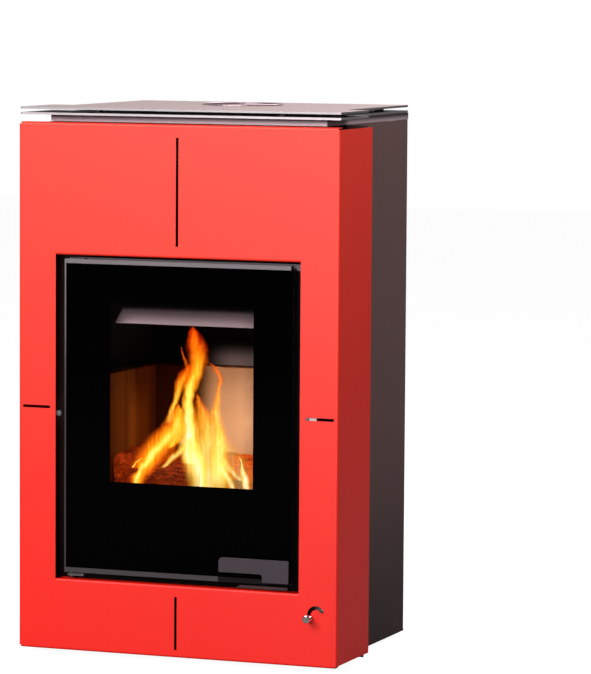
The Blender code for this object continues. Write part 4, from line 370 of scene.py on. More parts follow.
def sooty_steel():
    """Black heat-resistant paint, rougher and greyer where ash and soot lie."""
    made = Finish("black_stove_steel", (0.004, 0.0035, 0.0035), 0.7, 0.0, Specular_IOR_Level=0.05)
    soot = made.noise(14.0, 6.0, 0.65)
    fine = made.noise(700.0, 2.0)
    worn = made.blend(soot.between(0.35, 0.75), (0.0015, 0.0013, 0.0013), (0.0055, 0.005, 0.005))
    made.put("Base Color", worn)
    made.put("Roughness", soot * 0.3 + 0.5)
    made.bump(fine * 0.4 + soot * 0.6, 0.2, 0.0006)
    return made


def firebox_steel():
    """The black shell, with the glow of the fire on its back wall above the rear brick."""
    made = Finish("firebox_steel", (0.008, 0.007, 0.007), 0.8, 0.0, Specular_IOR_Level=0.12)
    soot = made.noise(14.0, 6.0, 0.65)
    lit = made.depth().between(BACK_WALL_DEPTH - 0.005, BACK_WALL_DEPTH + 0.005)
    lit = lit * made.axis(0).between(GLOW_LEFT - 0.030, GLOW_LEFT + 0.030)
    lit = lit * made.axis(2).between(GLOW_LOW, GLOW_HIGH, 1.0, 0.0) ** 2.0
    worn = made.blend(soot.between(0.35, 0.75), (0.003, 0.0025, 0.0025), (0.008, 0.007, 0.007))
    made.put("Base Color", worn)
    made.put("Roughness", soot * 0.2 + 0.7)
    made.put("Emission Color", made.blend(lit, (0.0004, 0.0003, 0.0003), (0.120, 0.075, 0.068)))
    made.put("Emission Strength", 1.0)
    return made


def satin_black(name="satin_black_paint"):
    made = Finish(name, (0.012, 0.012, 0.013), 0.42, 0.1)
    fine = made.noise(900.0, 2.0)
    made.put("Base Color", made.blend(made.noise(8.0), (0.010, 0.010, 0.011), (0.022, 0.021, 0.022)))
    made.put("Roughness", fine * 0.14 + 0.34)
    made.bump(fine, 0.12, 0.0003)
    return made


def pane():
    """Clear in the window and printed black all round it, with smears where soot gathers and a band of
    painted shade across the top of the window.
    """
    made = Finish("door_pane", (0.001, 0.001, 0.001), 0.06, 0.0, IOR=1.5, Specular_IOR_Level=0.02)
    x, z = made.axis(0), made.axis(2)
    middle_x, half_x = (PRINT_LEFT + PRINT_RIGHT) / 2, (PRINT_RIGHT - PRINT_LEFT) / 2
    middle_z, half_z = (PRINT_LOW + PRINT_HIGH) / 2, (PRINT_HIGH - PRINT_LOW) / 2
    outside = ((x - middle_x).absolute() - half_x).larger((z - middle_z).absolute() - half_z)
    printed = outside.between(-0.0005, 0.0005)
    haze = made.noise(18.0, 4.0, 0.6)
    # Painted shade: upper darkens the top of the window; soot carries it together with the real smears at the
    # border.
    upper = (z - PRINT_HIGH + 0.012).between(-0.002, 0.010)
    soot = outside.between(-0.030, 0.0) * haze * 0.22 + upper * 0.85
    made.put("Base Color", made.blend(printed, (0.0015, 0.0012, 0.0012), (0.0005, 0.0005, 0.0007)))
    made.put("Alpha", (printed + soot + 0.03).smaller(1.0))
    made.put("Roughness", haze * 0.04 + 0.05)
    made.see_through()
    return made


def stains(made):
    """Broad cloudy patches, the same wherever they are asked for."""
    return made.noise(11.0, 5.0, 0.6)


def side_brick_shade_and_joint(made):
    """How dark a side brick is: painted shade all over, least in a painted pool of light in the middle of the
    rear one, most at the dark joint and in the painted shade of the far corner.
    """
    depth = made.depth()
    lit = depth.between(0.145, 0.165) * depth.between(0.235, 0.262, 1.0, 0.0)
    lit = lit * made.axis(2).between(0.43, 0.50, 1.0, 0.0)
    joint = (depth - BRICK_JOINT).absolute().between(0.0006, 0.0022, 1.0, 0.0)
    return 0.45 - lit * 0.40 + depth.between(0.240, 0.275) * 0.35 + joint * 0.8


def rear_brick_shadow_and_top(made):
    """How dark the rear brick is: a painted shadow makes it black on the left, plain on the right, and it is
    a little darker at its top.
    """
    # Painted shadow on the left of the rear brick, its edge wavered by the stains.
    side = (made.axis(0) + (stains(made) - 0.5) * 0.03).between(-0.080, -0.034, 1.0, 0.0)
    return side + made.axis(2).between(0.46, 0.515, 0.0, 0.10)


def refractory(name, light, dark, extra_darkening=None):
    """Pressed brick with fine flakes and stains, darker towards its foot, and darker still where the given
    extra darkening, mostly painted shade, tells it to be.
    """
    made = Finish(name, light, 0.92, Specular_IOR_Level=0.1)
    flakes = made.cells(330.0, output=1)
    fleck = made.node("ShaderNodeSeparateXYZ", values=[flakes])
    fine = made.noise(240.0, 4.0, 0.6)
    foot = made.axis(2).between(0.29, 0.42, 0.15, 0.0)
    body = made.blend(fleck * 0.30 + fine * 0.30, light, dark)
    darkness = foot + stains(made).between(0.5, 0.8) * 0.16
    if extra_darkening:
        darkness = darkness + extra_darkening(made)
    # One dark colour serves the stains, the foot and the painted shade alike.
    made.put("Base Color", made.blend(darkness.smaller(1.0), body, (0.045, 0.009, 0.0008)))
    made.put("Roughness", fine * 0.1 + 0.85)
    made.bump(fine * 0.6 + fleck * 0.4, 0.35, 0.0008)
    return made


def cast_iron():
    made = Finish("cast_iron", (0.045, 0.043, 0.042), 0.7, 0.5)
    grain = made.noise(380.0, 4.0, 0.65)
    rust = made.noise(22.0, 5.0, 0.6)
    made.put("Base Color", made.blend(rust.between(0.5, 0.8), (0.040, 0.038, 0.037), (0.105, 0.070, 0.052)))
    made.put("Roughness", grain * 0.25 + 0.5)
    made.bump(grain, 0.5, 0.0006)
    return made


def rope():
    """Plaited fibre: two sets of slanting strands."""
    made = Finish("sealing_rope", (0.10, 0.10, 0.10), 0.95)
    across = made.axis(0)
    up = made.axis(2)
    first = ((across + up) * 1500.0).sine()
    second = ((across - up) * 1500.0).sine()
    plait = (first * second) * 0.5 + 0.5
    fuzz = made.noise(900.0, 3.0)
    made.put("Base Color", made.blend(plait * 0.7 + fuzz * 0.3, (0.045, 0.045, 0.046), (0.16, 0.155, 0.15)))
    made.bump(plait + fuzz * 0.3, 0.6, 0.0008)
    return made


def collar_paint():
    """Black paint with the bare cut edge of the metal at the mouth."""
    made = satin_black("black_collar_paint")
    bare = made.depth().between(COLLAR_RIM - 0.0014, COLLAR_RIM - 0.0008)
    made.put("Metallic", bare * 0.9)
    made.put("Base Color", made.blend(bare, (0.012, 0.011, 0.012), (0.60, 0.53, 0.52)))
    return made


def rubber():
    made = Finish("black_rubber", (0.018, 0.018, 0.018), 0.75)
    fine = made.noise(1100.0, 2.0)
    made.put("Base Color", made.blend(made.noise(30.0), (0.014, 0.014, 0.014), (0.030, 0.030, 0.031)))
    made.put("Roughness", fine * 0.2 + 0.62)
    made.bump(fine, 0.15, 0.0003)
    return made


def polished():
    made = Finish("polished_steel", (0.84, 0.80, 0.78), 0.12, 1.0)
    smudge = made.noise(120.0, 3.0)
    fine = made.noise(1.0, 2.0, 0.5, made.stretched((2200.0, 2200.0, 2200.0)))
    made.put("Base Color", made.blend(smudge, (0.86, 0.82, 0.80), (0.74, 0.69, 0.67)))
    made.put("Roughness", smudge * 0.14 + 0.06)
    made.bump(fine, 0.03, 0.0001)
    return made


def moulded(name, light, dark, roughness):
    made = Finish(name, light, roughness)
    spark = made.noise(1800.0, 2.0)
    made.put("Base Color", made.blend(spark, light, dark))
    made.put("Roughness", spark * 0.25 + (roughness - 0.1))
    made.bump(spark, 0.3, 0.0002)
    return made


def bark():
    """Split firewood, charred and lit deep red by the fire, with a few glowing cracks."""
    made = Finish("charred_log", (0.10, 0.035, 0.018), 0.95, Specular_IOR_Level=0.1)
    grain = made.noise(1.0, 6.0, 0.70, made.stretched((30.0, 190.0, 190.0)))
    fine = made.noise(330.0, 4.0, 0.7)
    patch = made.noise(16.0, 4.0, 0.6)
    cracks = made.cells(1.0, made.stretched((38.0, 120.0, 120.0)), "DISTANCE_TO_EDGE")
    body = (grain * 0.55 + fine * 0.35 + patch * 0.35 - 0.12).between(0.32, 0.80)
    glow = cracks.between(0.0, 0.06, 1.0, 0.0) * patch.between(0.56, 0.72)
    made.put("Base Color", made.blend(body, (0.006, 0.001, 0.0005), (0.50, 0.070, 0.010)))
    made.put("Emission Color", made.blend(glow * 0.7, made.blend(body * patch, (0.010, 0.0008, 0.0002),
                                                                 (0.74, 0.055, 0.003)), (1.0, 0.20, 0.02)))
    made.put("Emission Strength", 1.0)
    made.bump(grain * 0.7 + fine * 0.3, 0.8, 0.004)
    return made


def embers():
    made = Finish("ember_bed", (0.05, 0.04, 0.035), 0.95)
    warped = made.noise(60.0, 3.0, 0.6)
    lumps = made.cells(115.0, None, "DISTANCE_TO_EDGE")
    patch = made.noise(22.0, 5.0, 0.65)
    glow = (lumps + warped * 0.25).between(0.08, 0.26, 1.0, 0.0) * patch.between(0.42, 0.68)
    made.put("Base Color", made.blend(patch, (0.035, 0.028, 0.025), (0.22, 0.20, 0.185)))
    made.put("Emission Color", made.ramp(glow, [(0.0, (0.05, 0.005, 0.001)), (0.5, (0.7, 0.10, 0.010)),
                                               (1.0, (1.0, 0.42, 0.08))]))
    made.put("Emission Strength", 1.0)
    made.bump(lumps.between(0.0, 0.15), 0.9, 0.004)
    return made


FLAME_COLOURS = [(0.0, (0.60, 0.012, 0.001)), (0.20, (1.0, 0.060, 0.002)), (0.42, (1.4, 0.24, 0.004)),
                 (0.62, (1.7, 0.62, 0.020)), (0.80, (1.8, 1.15, 0.17)), (1.0, (1.9, 1.60, 0.80))]


def flames(name, tongues, seed):
    """Tongues of (warmth, cooling, cover, points), each point (x, z, half width), on one thin layer.

    A tongue is hottest along its middle line and thins out sideways, and where tongues meet their heats
    mix. The air's swirl bends them, more so higher up, and fine streaks rise through them. The layer is
    seen through twice, at its front and at its back, so its cover is shared between the two.
    """
    made = Finish(name, (0.0, 0.0, 0.0), 1.0, Specular_IOR_Level=0.0)
    x, z = made.axis(0), made.axis(2)
    swirl = made.noise(1.0, 2.0, 0.5, made.stretched((30.0, 0.0, 18.0), shift=(seed, seed * 2.0, seed)))
    streaks = made.noise(1.0, 3.0, 0.6, made.stretched((130.0, 0.0, 16.0), shift=(seed, 0.0, seed)), 0.5)
    ripple = made.noise(1.0, 3.0, 0.6, made.stretched((80.0, 0.0, 50.0), shift=(0.0, seed, 0.0)))
    bent = x + (swirl - 0.5) * (z * 0.04 - 0.006) + (ripple - 0.5) * 0.010
    heat_sum, cover_sum, clear = None, None, None
    for warmth, cooling, cover, points in tongues:
        low, high = points[0][1], points[-1][1]
        rise = (z - low) / (high - low)
        steps = [(point_z - low) / (high - low) for _, point_z, _ in points]
        places = [(t, (point[0] + FLAME_REACH) / (2 * FLAME_REACH)) for t, point in zip(steps, points)]
        widths = [(t, point[2] / FLAME_WIDEST) for t, point in zip(steps, points)]
        middle = made.line(rise, places) * (2 * FLAME_REACH) - FLAME_REACH
        half = made.line(rise, widths) * FLAME_WIDEST
        body = (1.0 - (bent - middle).absolute() / (half * 1.6).larger(0.0006)).larger(0.0)
        end = rise.between(0.97, 1.04, 1.0, 0.0) * rise.between(-0.10, 0.02)
        own_cover = body.between(0.0, 0.85) * end * cover
        own_heat = (warmth - 0.34 + body * 0.34 - rise.larger(0.0) ** 2.0 * cooling) * own_cover
        heat_sum = own_heat if heat_sum is None else heat_sum + own_heat
        cover_sum = own_cover if cover_sum is None else cover_sum + own_cover
        clear = 1.0 - own_cover if clear is None else clear * (1.0 - own_cover)
    heat = heat_sum / cover_sum.larger(0.01) + (streaks - 0.5) * 0.40
    cover = ((1.0 - clear) * (streaks * 0.7 + 0.60)).smaller(0.97)
    made.put("Emission Color", made.ramp(heat.larger(0.0).smaller(1.0), FLAME_COLOURS))
    made.put("Emission Strength", 1.0)
    made.put("Alpha", 1.0 - (1.0 - cover) ** 0.5)
    made.see_through()
    return made


# Making pieces

def stove(x, y, z):
    """A place given from the face of the surround, in the frame of the CAD."""
    return Vector((x, y + FRONT_Y, z))


def piece(name, bm, finish, body, smooth=40.0):
    """Makes an object that rides on a body, smooth wherever its faces meet at less than that angle."""
    bmesh.ops.recalc_face_normals(bm, faces=bm.faces[:])
    mesh = bpy.data.meshes.new(name)
    bm.to_mesh(mesh)
    bm.free()
    mesh.materials.append(finish.material)
    if smooth:
        mesh.shade_smooth()
        mesh.set_sharp_from_angle(angle=math.radians(smooth))
    made = bpy.data.objects.new(name, mesh)
    bpy.context.scene.collection.objects.link(made)
    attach(made, body)


def lathe(profile, steps):
    """A full turn of a closed profile of (radius, height) points about +Z."""
    bm = bmesh.new()
    points = [bm.verts.new((radius, 0.0, height)) for radius, height in profile]
    edges = [bm.edges.new(pair) for pair in zip(points, points[1:])]
    bmesh.ops.spin(bm, geom=points + edges, cent=(0.0, 0.0, 0.0), axis=(0.0, 0.0, 1.0),
                   dvec=(0.0, 0.0, 0.0), angle=math.tau, steps=steps, use_merge=True,
                   use_normal_flip=False, use_duplicate=False)
    bmesh.ops.remove_doubles(bm, verts=bm.verts[:], dist=0.000001)
    bmesh.ops.recalc_face_normals(bm, faces=bm.faces[:])
    return bm


def turn_and_place(bm, direction, place):
    """Turns +Z to the direction and moves the shape to its place."""
    turn = Vector((0.0, 0.0, 1.0)).rotation_difference(Vector(direction)).to_matrix().to_4x4()
    bmesh.ops.transform(bm, matrix=Matrix.Translation(place) @ turn, verts=bm.verts[:])
    return bm


def box_shape(size, bevel=0.0):
    bm = bmesh.new()
    bmesh.ops.create_cube(bm, size=1.0)
    bmesh.ops.scale(bm, vec=size, verts=bm.verts[:])
    if bevel:
        bmesh.ops.bevel(bm, geom=bm.edges[:] + bm.verts[:], offset=bevel, offset_type="OFFSET",
                        segments=1, profile=0.5, affect="EDGES", clamp_overlap=True, material=-1)
    return bm


def socket_screw(radius, height):
    """A low round head with a rolled edge and a six-sided socket, standing on z = 0."""
    edge, hollow, floor = height * 0.35, radius * 0.48, height * 0.45
    profile = [(0.0, 0.0), (radius, 0.0), (radius, height - edge), (radius - edge * 0.3, height - edge * 0.3),
               (radius - edge, height), (hollow, height), (hollow, floor), (0.0, floor)]
    bm = lathe(profile, 24)
    for vert in bm.verts:
        reach = math.hypot(vert.co.x, vert.co.y)
        if abs(reach - hollow) < 0.00002:
            corner = math.atan2(vert.co.y, vert.co.x) % (math.pi / 3)
            flat = math.cos(math.pi / 6) / math.cos(corner - math.pi / 6)
            vert.co.x *= flat
            vert.co.y *= flat
    return bm


# Finishing the solids

def finish_solids(nodes, finishes):
    """Gives each solid its finish."""
    plan = {
        "red_enamel": ["front_surround"],
        "casing": ["casing_side_left", "casing_side_right", "base_plate"],
        "rear_grey": ["rear_panel", "service_panel"],
        "vent_black": ["rear_vent_frame"],
        "top_metal": ["top_plate_upper"],
        "spaced_metal": ["top_plate_lower"],
        "flue_metal": ["flue_collar"],
        "neck": ["top_cover"],
        "clip": ["surround_clip_left", "surround_clip_right"],
        "hinge": ["hinge_lug_upper", "hinge_lug_lower", "hinge_pin_upper", "hinge_pin_lower"],
        "zinc": ["air_control_crank", "air_shutter", "air_valve_plate", "air_duct", "air_box",
                 "panel_nut_left", "panel_nut_right"],
        "pan": ["ash_pan"],
        "firebox": ["firebox_shell"],
        "sooty": ["firebox_front", "support_plinth", "latch_spindle"],
        "satin_black": ["door_frame"],
        "collar": ["air_collar"],
        "pane": ["door_glass"],
        "rubber": ["servo_lead", "lead_gland", "levelling_foot_front_left", "levelling_foot_front_right",
                   "levelling_foot_rear_left", "levelling_foot_rear_right"],
        "trim": ["glass_retainer"],
        "rail": ["frame_top_rail"],
        "keeper": ["latch_keeper"],
        "wash_plate": ["air_wash_plate"],
        "handle": ["door_handle"],
        "side_brick": ["firebrick_left_front", "firebrick_left_rear", "firebrick_right_front",
                       "firebrick_right_rear"],
        "back_brick": ["firebrick_back"],
        "dark_brick": ["baffle_plate"],
        "iron": ["hearth_plate", "fire_grate"],
        "rope": ["door_seal", "glass_gasket"],
        "polished": ["air_control_knob"],
        "burnt": ["throttle_flap", "flap_shaft"],
        "bracket": ["servo_bracket"],
        "horn": ["servo_horn"],
        "servo": ["servo_body"],
    }
    for finish, names in plan.items():
        for name in names:
            solid = nodes[name]
            solid.data.materials.clear()
            solid.data.materials.append(finishes[finish].material)


def make_finishes():
    return {
        "red_enamel": enamel(),
        "casing": casing_paint(),
        "rear_grey": textured_paint("grey_rear_paint", (0.34, 0.285, 0.295), (0.25, 0.21, 0.22), 0.48),
        "vent_black": textured_paint("black_vent_paint", (0.020, 0.018, 0.018), (0.010, 0.009, 0.009), 0.5),
        "top_metal": top_plate(),
        "spaced_metal": spaced_plate(),
        "flue_metal": satin_metal("flue_collar_metal", (0.52, 0.40, 0.43), (0.36, 0.27, 0.29), 0.34),
        "neck": neck_metal(),
        "clip": clip_metal(),
        "hinge": satin_metal("dull_hinge_steel", (0.20, 0.18, 0.19), (0.13, 0.115, 0.12), 0.45),
        "zinc": zinc(),
        "pan": satin_metal("scaled_pan_steel", (0.20, 0.185, 0.18), (0.11, 0.10, 0.098), 0.45, metallic=0.7),
        "sooty": sooty_steel(),
        "firebox": firebox_steel(),
        "satin_black": satin_black(),
        "collar": collar_paint(),
        "pane": pane(),
        "rubber": rubber(),
        "trim": door_trim(),
        "rail": satin_metal("grey_rail_paint", (0.15, 0.12, 0.13), (0.10, 0.08, 0.09), 0.45, metallic=0.3),
        "keeper": satin_metal("worn_keeper_steel", (0.125, 0.070, 0.075), (0.085, 0.045, 0.050), 0.42),
        "wash_plate": textured_paint("grey_wash_plate_paint", (0.52, 0.37, 0.39), (0.44, 0.31, 0.33), 0.6),
        "handle": textured_paint("dark_handle_paint", (0.058, 0.042, 0.051), (0.038, 0.028, 0.034), 0.45,
                                 0.3),
        "side_brick": refractory("side_firebrick", (0.24, 0.070, 0.004), (0.16, 0.035, 0.002), side_brick_shade_and_joint),
        "back_brick": refractory("rear_firebrick", (0.75, 0.53, 0.42), (0.63, 0.44, 0.34), rear_brick_shadow_and_top),
        "dark_brick": refractory("baffle_board", (0.16, 0.14, 0.125), (0.08, 0.07, 0.065)),
        "iron": cast_iron(),
        "rope": rope(),
        "polished": polished(),
        "burnt": satin_metal("heat_darkened_steel", (0.36, 0.28, 0.25), (0.22, 0.17, 0.16), 0.34),
        "bracket": satin_metal("plain_bracket_steel", (0.46, 0.41, 0.40), (0.34, 0.30, 0.29), 0.36),
        "horn": moulded("brown_coupling", (0.15, 0.105, 0.08), (0.09, 0.065, 0.052), 0.55),
        "servo": moulded("servo_case", (0.035, 0.034, 0.035), (0.020, 0.020, 0.021), 0.42),
        "label": moulded("blank_label", (0.82, 0.81, 0.79), (0.72, 0.71, 0.69), 0.5),
        "screw": satin_metal("zinc_screw", (0.60, 0.60, 0.61), (0.42, 0.42, 0.43), 0.30,
                             (900.0, 900.0, 900.0)),
        "black_screw": satin_black("black_screw"),
        "bark": bark(),
        "embers": embers(),
    }


# Fixings

def add_screw(name, radius, height, direction, place, finish):
    piece(name, turn_and_place(socket_screw(radius, height), direction, place), finish, "stove")


def rear_screws(finishes):
    """Screws down both sides of the rear panel and along its top."""
    places = [(f"{side}_{index}", x, z) for index, z in enumerate(REAR_SCREW_SIDE_HEIGHTS)
              for side, x in (("left", -REAR_SCREW_X), ("right", REAR_SCREW_X))]
    places += [(f"top_{index}", x, REAR_SCREW_TOP_HEIGHT) for index, x in enumerate(REAR_SCREW_TOP_PLACES)]
    for place, x, z in places:
        add_screw(f"rear_panel_screw_{place}", 0.0045, 0.0022, (0, 1, 0), stove(x, BODY_DEPTH, z),
                  finishes["black_screw"])


def servo_details(finishes):
    """The blank label, the seams of the case and the fixing screws."""
    middle = COLLAR_Z + SERVO_RISE
    label = box_shape((0.008, 0.0003, 0.014), 0.0001)
    place = stove(SERVO_WEB_X - 0.0075, SERVO_Y + 0.0101, middle - 0.001)
    bmesh.ops.translate(label, vec=place, verts=label.verts[:])
    piece("servo_label", label, finishes["label"], "stove")
    for name, x in (("upper", SERVO_WEB_X - 0.006), ("lower", SERVO_WEB_X - 0.0285)):
        ring = box_shape((0.0006, 0.0203, 0.0403))
        bmesh.ops.translate(ring, vec=stove(x, SERVO_Y, middle), verts=ring.verts[:])
        piece(f"servo_case_seam_{name}", ring, finishes["rubber"], "stove", smooth=None)
    for name, z in (("upper", middle + 0.0235), ("lower", middle - 0.0235)):
        add_screw(f"servo_screw_{name}", 0.0026, 0.0018, (-1, 0, 0), stove(SERVO_WEB_X - 0.0025, SERVO_Y, z),
                  finishes["screw"])


# The fire

def log_shape(length, radius, seed):
    """A split log: a rough cylinder with one flattened side."""
    bm = bmesh.new()
    bmesh.ops.create_cone(bm, cap_ends=True, cap_tris=False, segments=40, radius1=radius,
                          radius2=radius * 0.94, depth=length)
    long_edges = [e for e in bm.edges if abs(e.verts[0].co.z - e.verts[1].co.z) > length * 0.5]
    bmesh.ops.subdivide_edges(bm, edges=long_edges, cuts=46, use_grid_fill=True)
    for vert in bm.verts:
        offset = Vector((seed * 7.3, seed * 3.1, seed * 1.7))
        along = Vector((vert.co.x * 26.0, vert.co.y * 26.0, vert.co.z * 8.0)) + offset
        fine = Vector((vert.co.x * 120.0, vert.co.y * 120.0, vert.co.z * 26.0)) + offset
        swell = noise.fractal(along, 1.0, 2.0, 3) * 0.16 + noise.fractal(fine, 1.0, 2.0, 3) * 0.05
        vert.co.x *= 1.0 + swell
        vert.co.y *= 1.0 + swell
        vert.co.z += noise.noise(along * 1.4) * radius * 0.14
        if vert.co.y < -radius * 0.45:
            vert.co.y = -radius * 0.45 + (vert.co.y + radius * 0.45) * 0.25
    return bm


def make_fire(finishes):
    """Logs of (name, length, radius, seed, place, lean, roll), the bed of embers under them, the flames."""
    logs = (
        ("log_left", 0.150, 0.041, 3, (-0.148, 0.165, 0.334), (0, 84, 62), 60),
        ("log_front", 0.125, 0.034, 1, (-0.078, 0.125, 0.320), (0, 90, 8), 20),
        ("log_rear", 0.250, 0.036, 2, (0.000, 0.240, 0.326), (0, 90, -6), 150),
        ("log_right", 0.160, 0.030, 4, (0.090, 0.165, 0.304), (0, 84, 118), 200),
    )
    for name, length, radius, seed, place, lean, roll in logs:
        bm = log_shape(length, radius, seed)
        own = Matrix.Rotation(math.radians(roll), 4, "Z")
        turn = Euler([math.radians(a) for a in lean]).to_matrix().to_4x4()
        bmesh.ops.transform(bm, matrix=Matrix.Translation(stove(*place)) @ turn @ own, verts=bm.verts[:])
        piece(name, bm, finishes["bark"], "stove", smooth=60.0)
    bed = bmesh.new()
    bmesh.ops.create_grid(bed, x_segments=90, y_segments=80, size=1.0)
    bmesh.ops.scale(bed, vec=(EMBER_HALF_WIDTH, EMBER_HALF_DEPTH, 1.0), verts=bed.verts[:])
    for vert in bed.verts:
        reach = max(abs(vert.co.x) / EMBER_HALF_WIDTH, abs(vert.co.y) / EMBER_HALF_DEPTH)
        heap = (1.0 - reach ** 3) * 0.016
        lumps = noise.fractal(vert.co * 55.0, 1.0, 2.0, 4) * 0.007 * (1.0 - reach ** 6)
        vert.co.z = max(0.0, heap + lumps)
    sheet = bmesh.ops.extrude_face_region(bed, geom=bed.faces[:])["geom"]
    for vert in (item for item in sheet if isinstance(item, bmesh.types.BMVert)):
        vert.co.z = -0.0012
    bmesh.ops.translate(bed, vec=stove(0.0, GRATE_Y, EMBER_FOOT), verts=bed.verts[:])
    piece("ember_bed", bed, finishes["embers"], "stove", smooth=60.0)
    make_flames()


def flame_layer(name, finish, x, z, depth, wave):
    """A thin rippled layer for flames, closed all round."""
    bm = bmesh.new()
    bmesh.ops.create_grid(bm, x_segments=28, y_segments=28, size=0.5)
    for vert in bm.verts:
        across, up = vert.co.x + 0.5, vert.co.y + 0.5
        bow = math.sin(across * 5.0 + wave) * 0.006 + math.sin(up * 4.0 + wave) * 0.006
        vert.co = stove(x[0] + (x[1] - x[0]) * across, depth + bow, z[0] + (z[1] - z[0]) * up)
    grown = bmesh.ops.extrude_face_region(bm, geom=bm.faces[:])["geom"]
    moved = [item for item in grown if isinstance(item, bmesh.types.BMVert)]
    bmesh.ops.translate(bm, vec=(0.0, 0.0008, 0.0), verts=moved)
    piece(name, bm, finish, "stove", smooth=60.0)


def make_flames():
    """The tall flame with a red tip, its shoulder and a side flame, and low flames and curls before them."""
    middle = flames("middle_flames", (
        (1.08, 0.80, 1.0, [
            (-0.028, 0.296, 0.015), (-0.038, 0.338, 0.016), (-0.046, 0.371, 0.017), (-0.047, 0.404, 0.015),
            (-0.048, 0.437, 0.011), (-0.047, 0.470, 0.009), (-0.041, 0.493, 0.011), (-0.034, 0.517, 0.0135),
            (-0.029, 0.538, 0.015), (-0.031, 0.559, 0.016), (-0.036, 0.578, 0.014), (-0.042, 0.600, 0.004)]),
        (0.80, 0.45, 0.85, [
            (-0.084, 0.426, 0.010), (-0.079, 0.450, 0.006), (-0.071, 0.473, 0.006), (-0.064, 0.494, 0.010),
            (-0.055, 0.512, 0.012), (-0.048, 0.531, 0.004)]),
        (0.50, 0.20, 0.45, [(-0.049, 0.518, 0.005), (-0.058, 0.544, 0.003), (-0.064, 0.564, 0.001)]),
        (0.92, 0.42, 0.62, [
            (-0.013, 0.297, 0.030), (-0.012, 0.335, 0.033), (-0.009, 0.373, 0.033), (-0.009, 0.401, 0.028),
            (-0.015, 0.429, 0.022), (-0.021, 0.450, 0.012), (-0.029, 0.476, 0.002)]),
        (1.00, 0.62, 0.64, [
            (0.011, 0.317, 0.013), (0.012, 0.355, 0.012), (0.012, 0.392, 0.010), (0.009, 0.420, 0.010),
            (0.005, 0.449, 0.008), (0.008, 0.472, 0.005), (0.011, 0.491, 0.004), (0.014, 0.509, 0.005),
            (0.007, 0.523, 0.005), (-0.004, 0.536, 0.001)]),
    ), 4.1)
    front = flames("front_flames", (
        (0.62, 0.10, 0.95, [
            (-0.119, 0.310, 0.010), (-0.110, 0.334, 0.015), (-0.097, 0.356, 0.022), (-0.080, 0.380, 0.028),
            (-0.062, 0.402, 0.027), (-0.044, 0.424, 0.021), (-0.036, 0.443, 0.014), (-0.032, 0.464, 0.004)]),
        (0.84, 0.10, 0.85, [
            (-0.050, 0.388, 0.006), (-0.040, 0.402, 0.014), (-0.030, 0.420, 0.017), (-0.028, 0.440, 0.012),
            (-0.026, 0.458, 0.003)]),
        (1.06, 0.25, 0.90, [
            (-0.121, 0.310, 0.003), (-0.111, 0.339, 0.005), (-0.097, 0.358, 0.007), (-0.077, 0.382, 0.009),
            (-0.054, 0.405, 0.012), (-0.038, 0.423, 0.011), (-0.033, 0.442, 0.004)]),
        (1.00, 0.20, 0.70, [
            (-0.128, 0.337, 0.001), (-0.123, 0.349, 0.002), (-0.115, 0.358, 0.003), (-0.103, 0.363, 0.002)]),
        (0.90, 0.20, 0.55, [
            (-0.063, 0.350, 0.004), (-0.043, 0.369, 0.008), (-0.025, 0.384, 0.009), (-0.013, 0.403, 0.004)]),
        (0.95, 0.10, 0.74, [
            (0.015, 0.306, 0.019), (0.008, 0.338, 0.020), (0.002, 0.361, 0.021), (-0.002, 0.384, 0.015),
            (-0.004, 0.408, 0.004)]),
        (0.84, 0.10, 0.24, [
            (0.052, 0.306, 0.030), (0.048, 0.340, 0.024), (0.044, 0.367, 0.017), (0.042, 0.396, 0.006)]),
        (1.06, 0.10, 0.60, [
            (0.082, 0.314, 0.005), (0.072, 0.329, 0.006), (0.061, 0.345, 0.007), (0.053, 0.362, 0.006)]),
        (1.06, 0.15, 0.70, [
            (0.107, 0.314, 0.005), (0.102, 0.333, 0.006), (0.099, 0.349, 0.005), (0.095, 0.363, 0.002),
            (0.092, 0.375, 0.001)]),
        (0.98, 0.10, 0.40, [
            (0.094, 0.333, 0.005), (0.079, 0.345, 0.008), (0.066, 0.357, 0.009), (0.056, 0.371, 0.005)]),
        (0.94, 0.25, 0.16, [
            (0.092, 0.306, 0.035), (0.087, 0.351, 0.034), (0.074, 0.378, 0.029), (0.059, 0.405, 0.017),
            (0.048, 0.430, 0.004)]),
    ), 1.3)
    flame_layer("flame_layer_middle", middle, (-0.160, 0.065), (0.290, 0.612), 0.185, 2.1)
    flame_layer("flame_layer_front", front, (-0.150, 0.155), (0.298, 0.600), 0.084, 0.6)


# Studio

def place_camera():
    yaw, pitch, roll = (math.radians(a) for a in (CAMERA_YAW, CAMERA_PITCH, CAMERA_ROLL))
    forward = Vector((-math.sin(yaw) * math.cos(pitch), math.cos(yaw) * math.cos(pitch), -math.sin(pitch)))
    right = Vector((math.cos(yaw), math.sin(yaw), 0.0))
    up = right.cross(forward)
    level_right = math.cos(roll) * right + math.sin(roll) * up
    level_up = math.cos(roll) * up - math.sin(roll) * right
    data = bpy.data.cameras.new("camera")
    data.sensor_width = SENSOR_MM
    data.sensor_fit = "AUTO"
    data.lens = CAMERA_FOCAL_PX / PHOTO_HEIGHT_PX * SENSOR_MM
    data.clip_end = 60.0
    camera = bpy.data.objects.new("camera", data)
    matrix = Matrix.Identity(4)
    for column, vector in enumerate((level_right, level_up, -forward, Vector(CAMERA_PLACE))):
        for row in range(3):
            matrix[row][column] = vector[row]
    camera.matrix_world = matrix
    bpy.context.scene.collection.objects.link(camera)
    bpy.context.scene.camera = camera


def add_soft_light(name, place, target, size, power, colour=(1.0, 1.0, 1.0)):
    data = bpy.data.lights.new(name, "AREA")
    data.shape = "RECTANGLE"
    data.size, data.size_y = size
    data.energy = power
    data.color = colour
    light = bpy.data.objects.new(name, data)
    light.location = place
    light.rotation_euler = (Vector(target) - Vector(place)).to_track_quat("-Z", "Y").to_euler()
    bpy.context.scene.collection.objects.link(light)


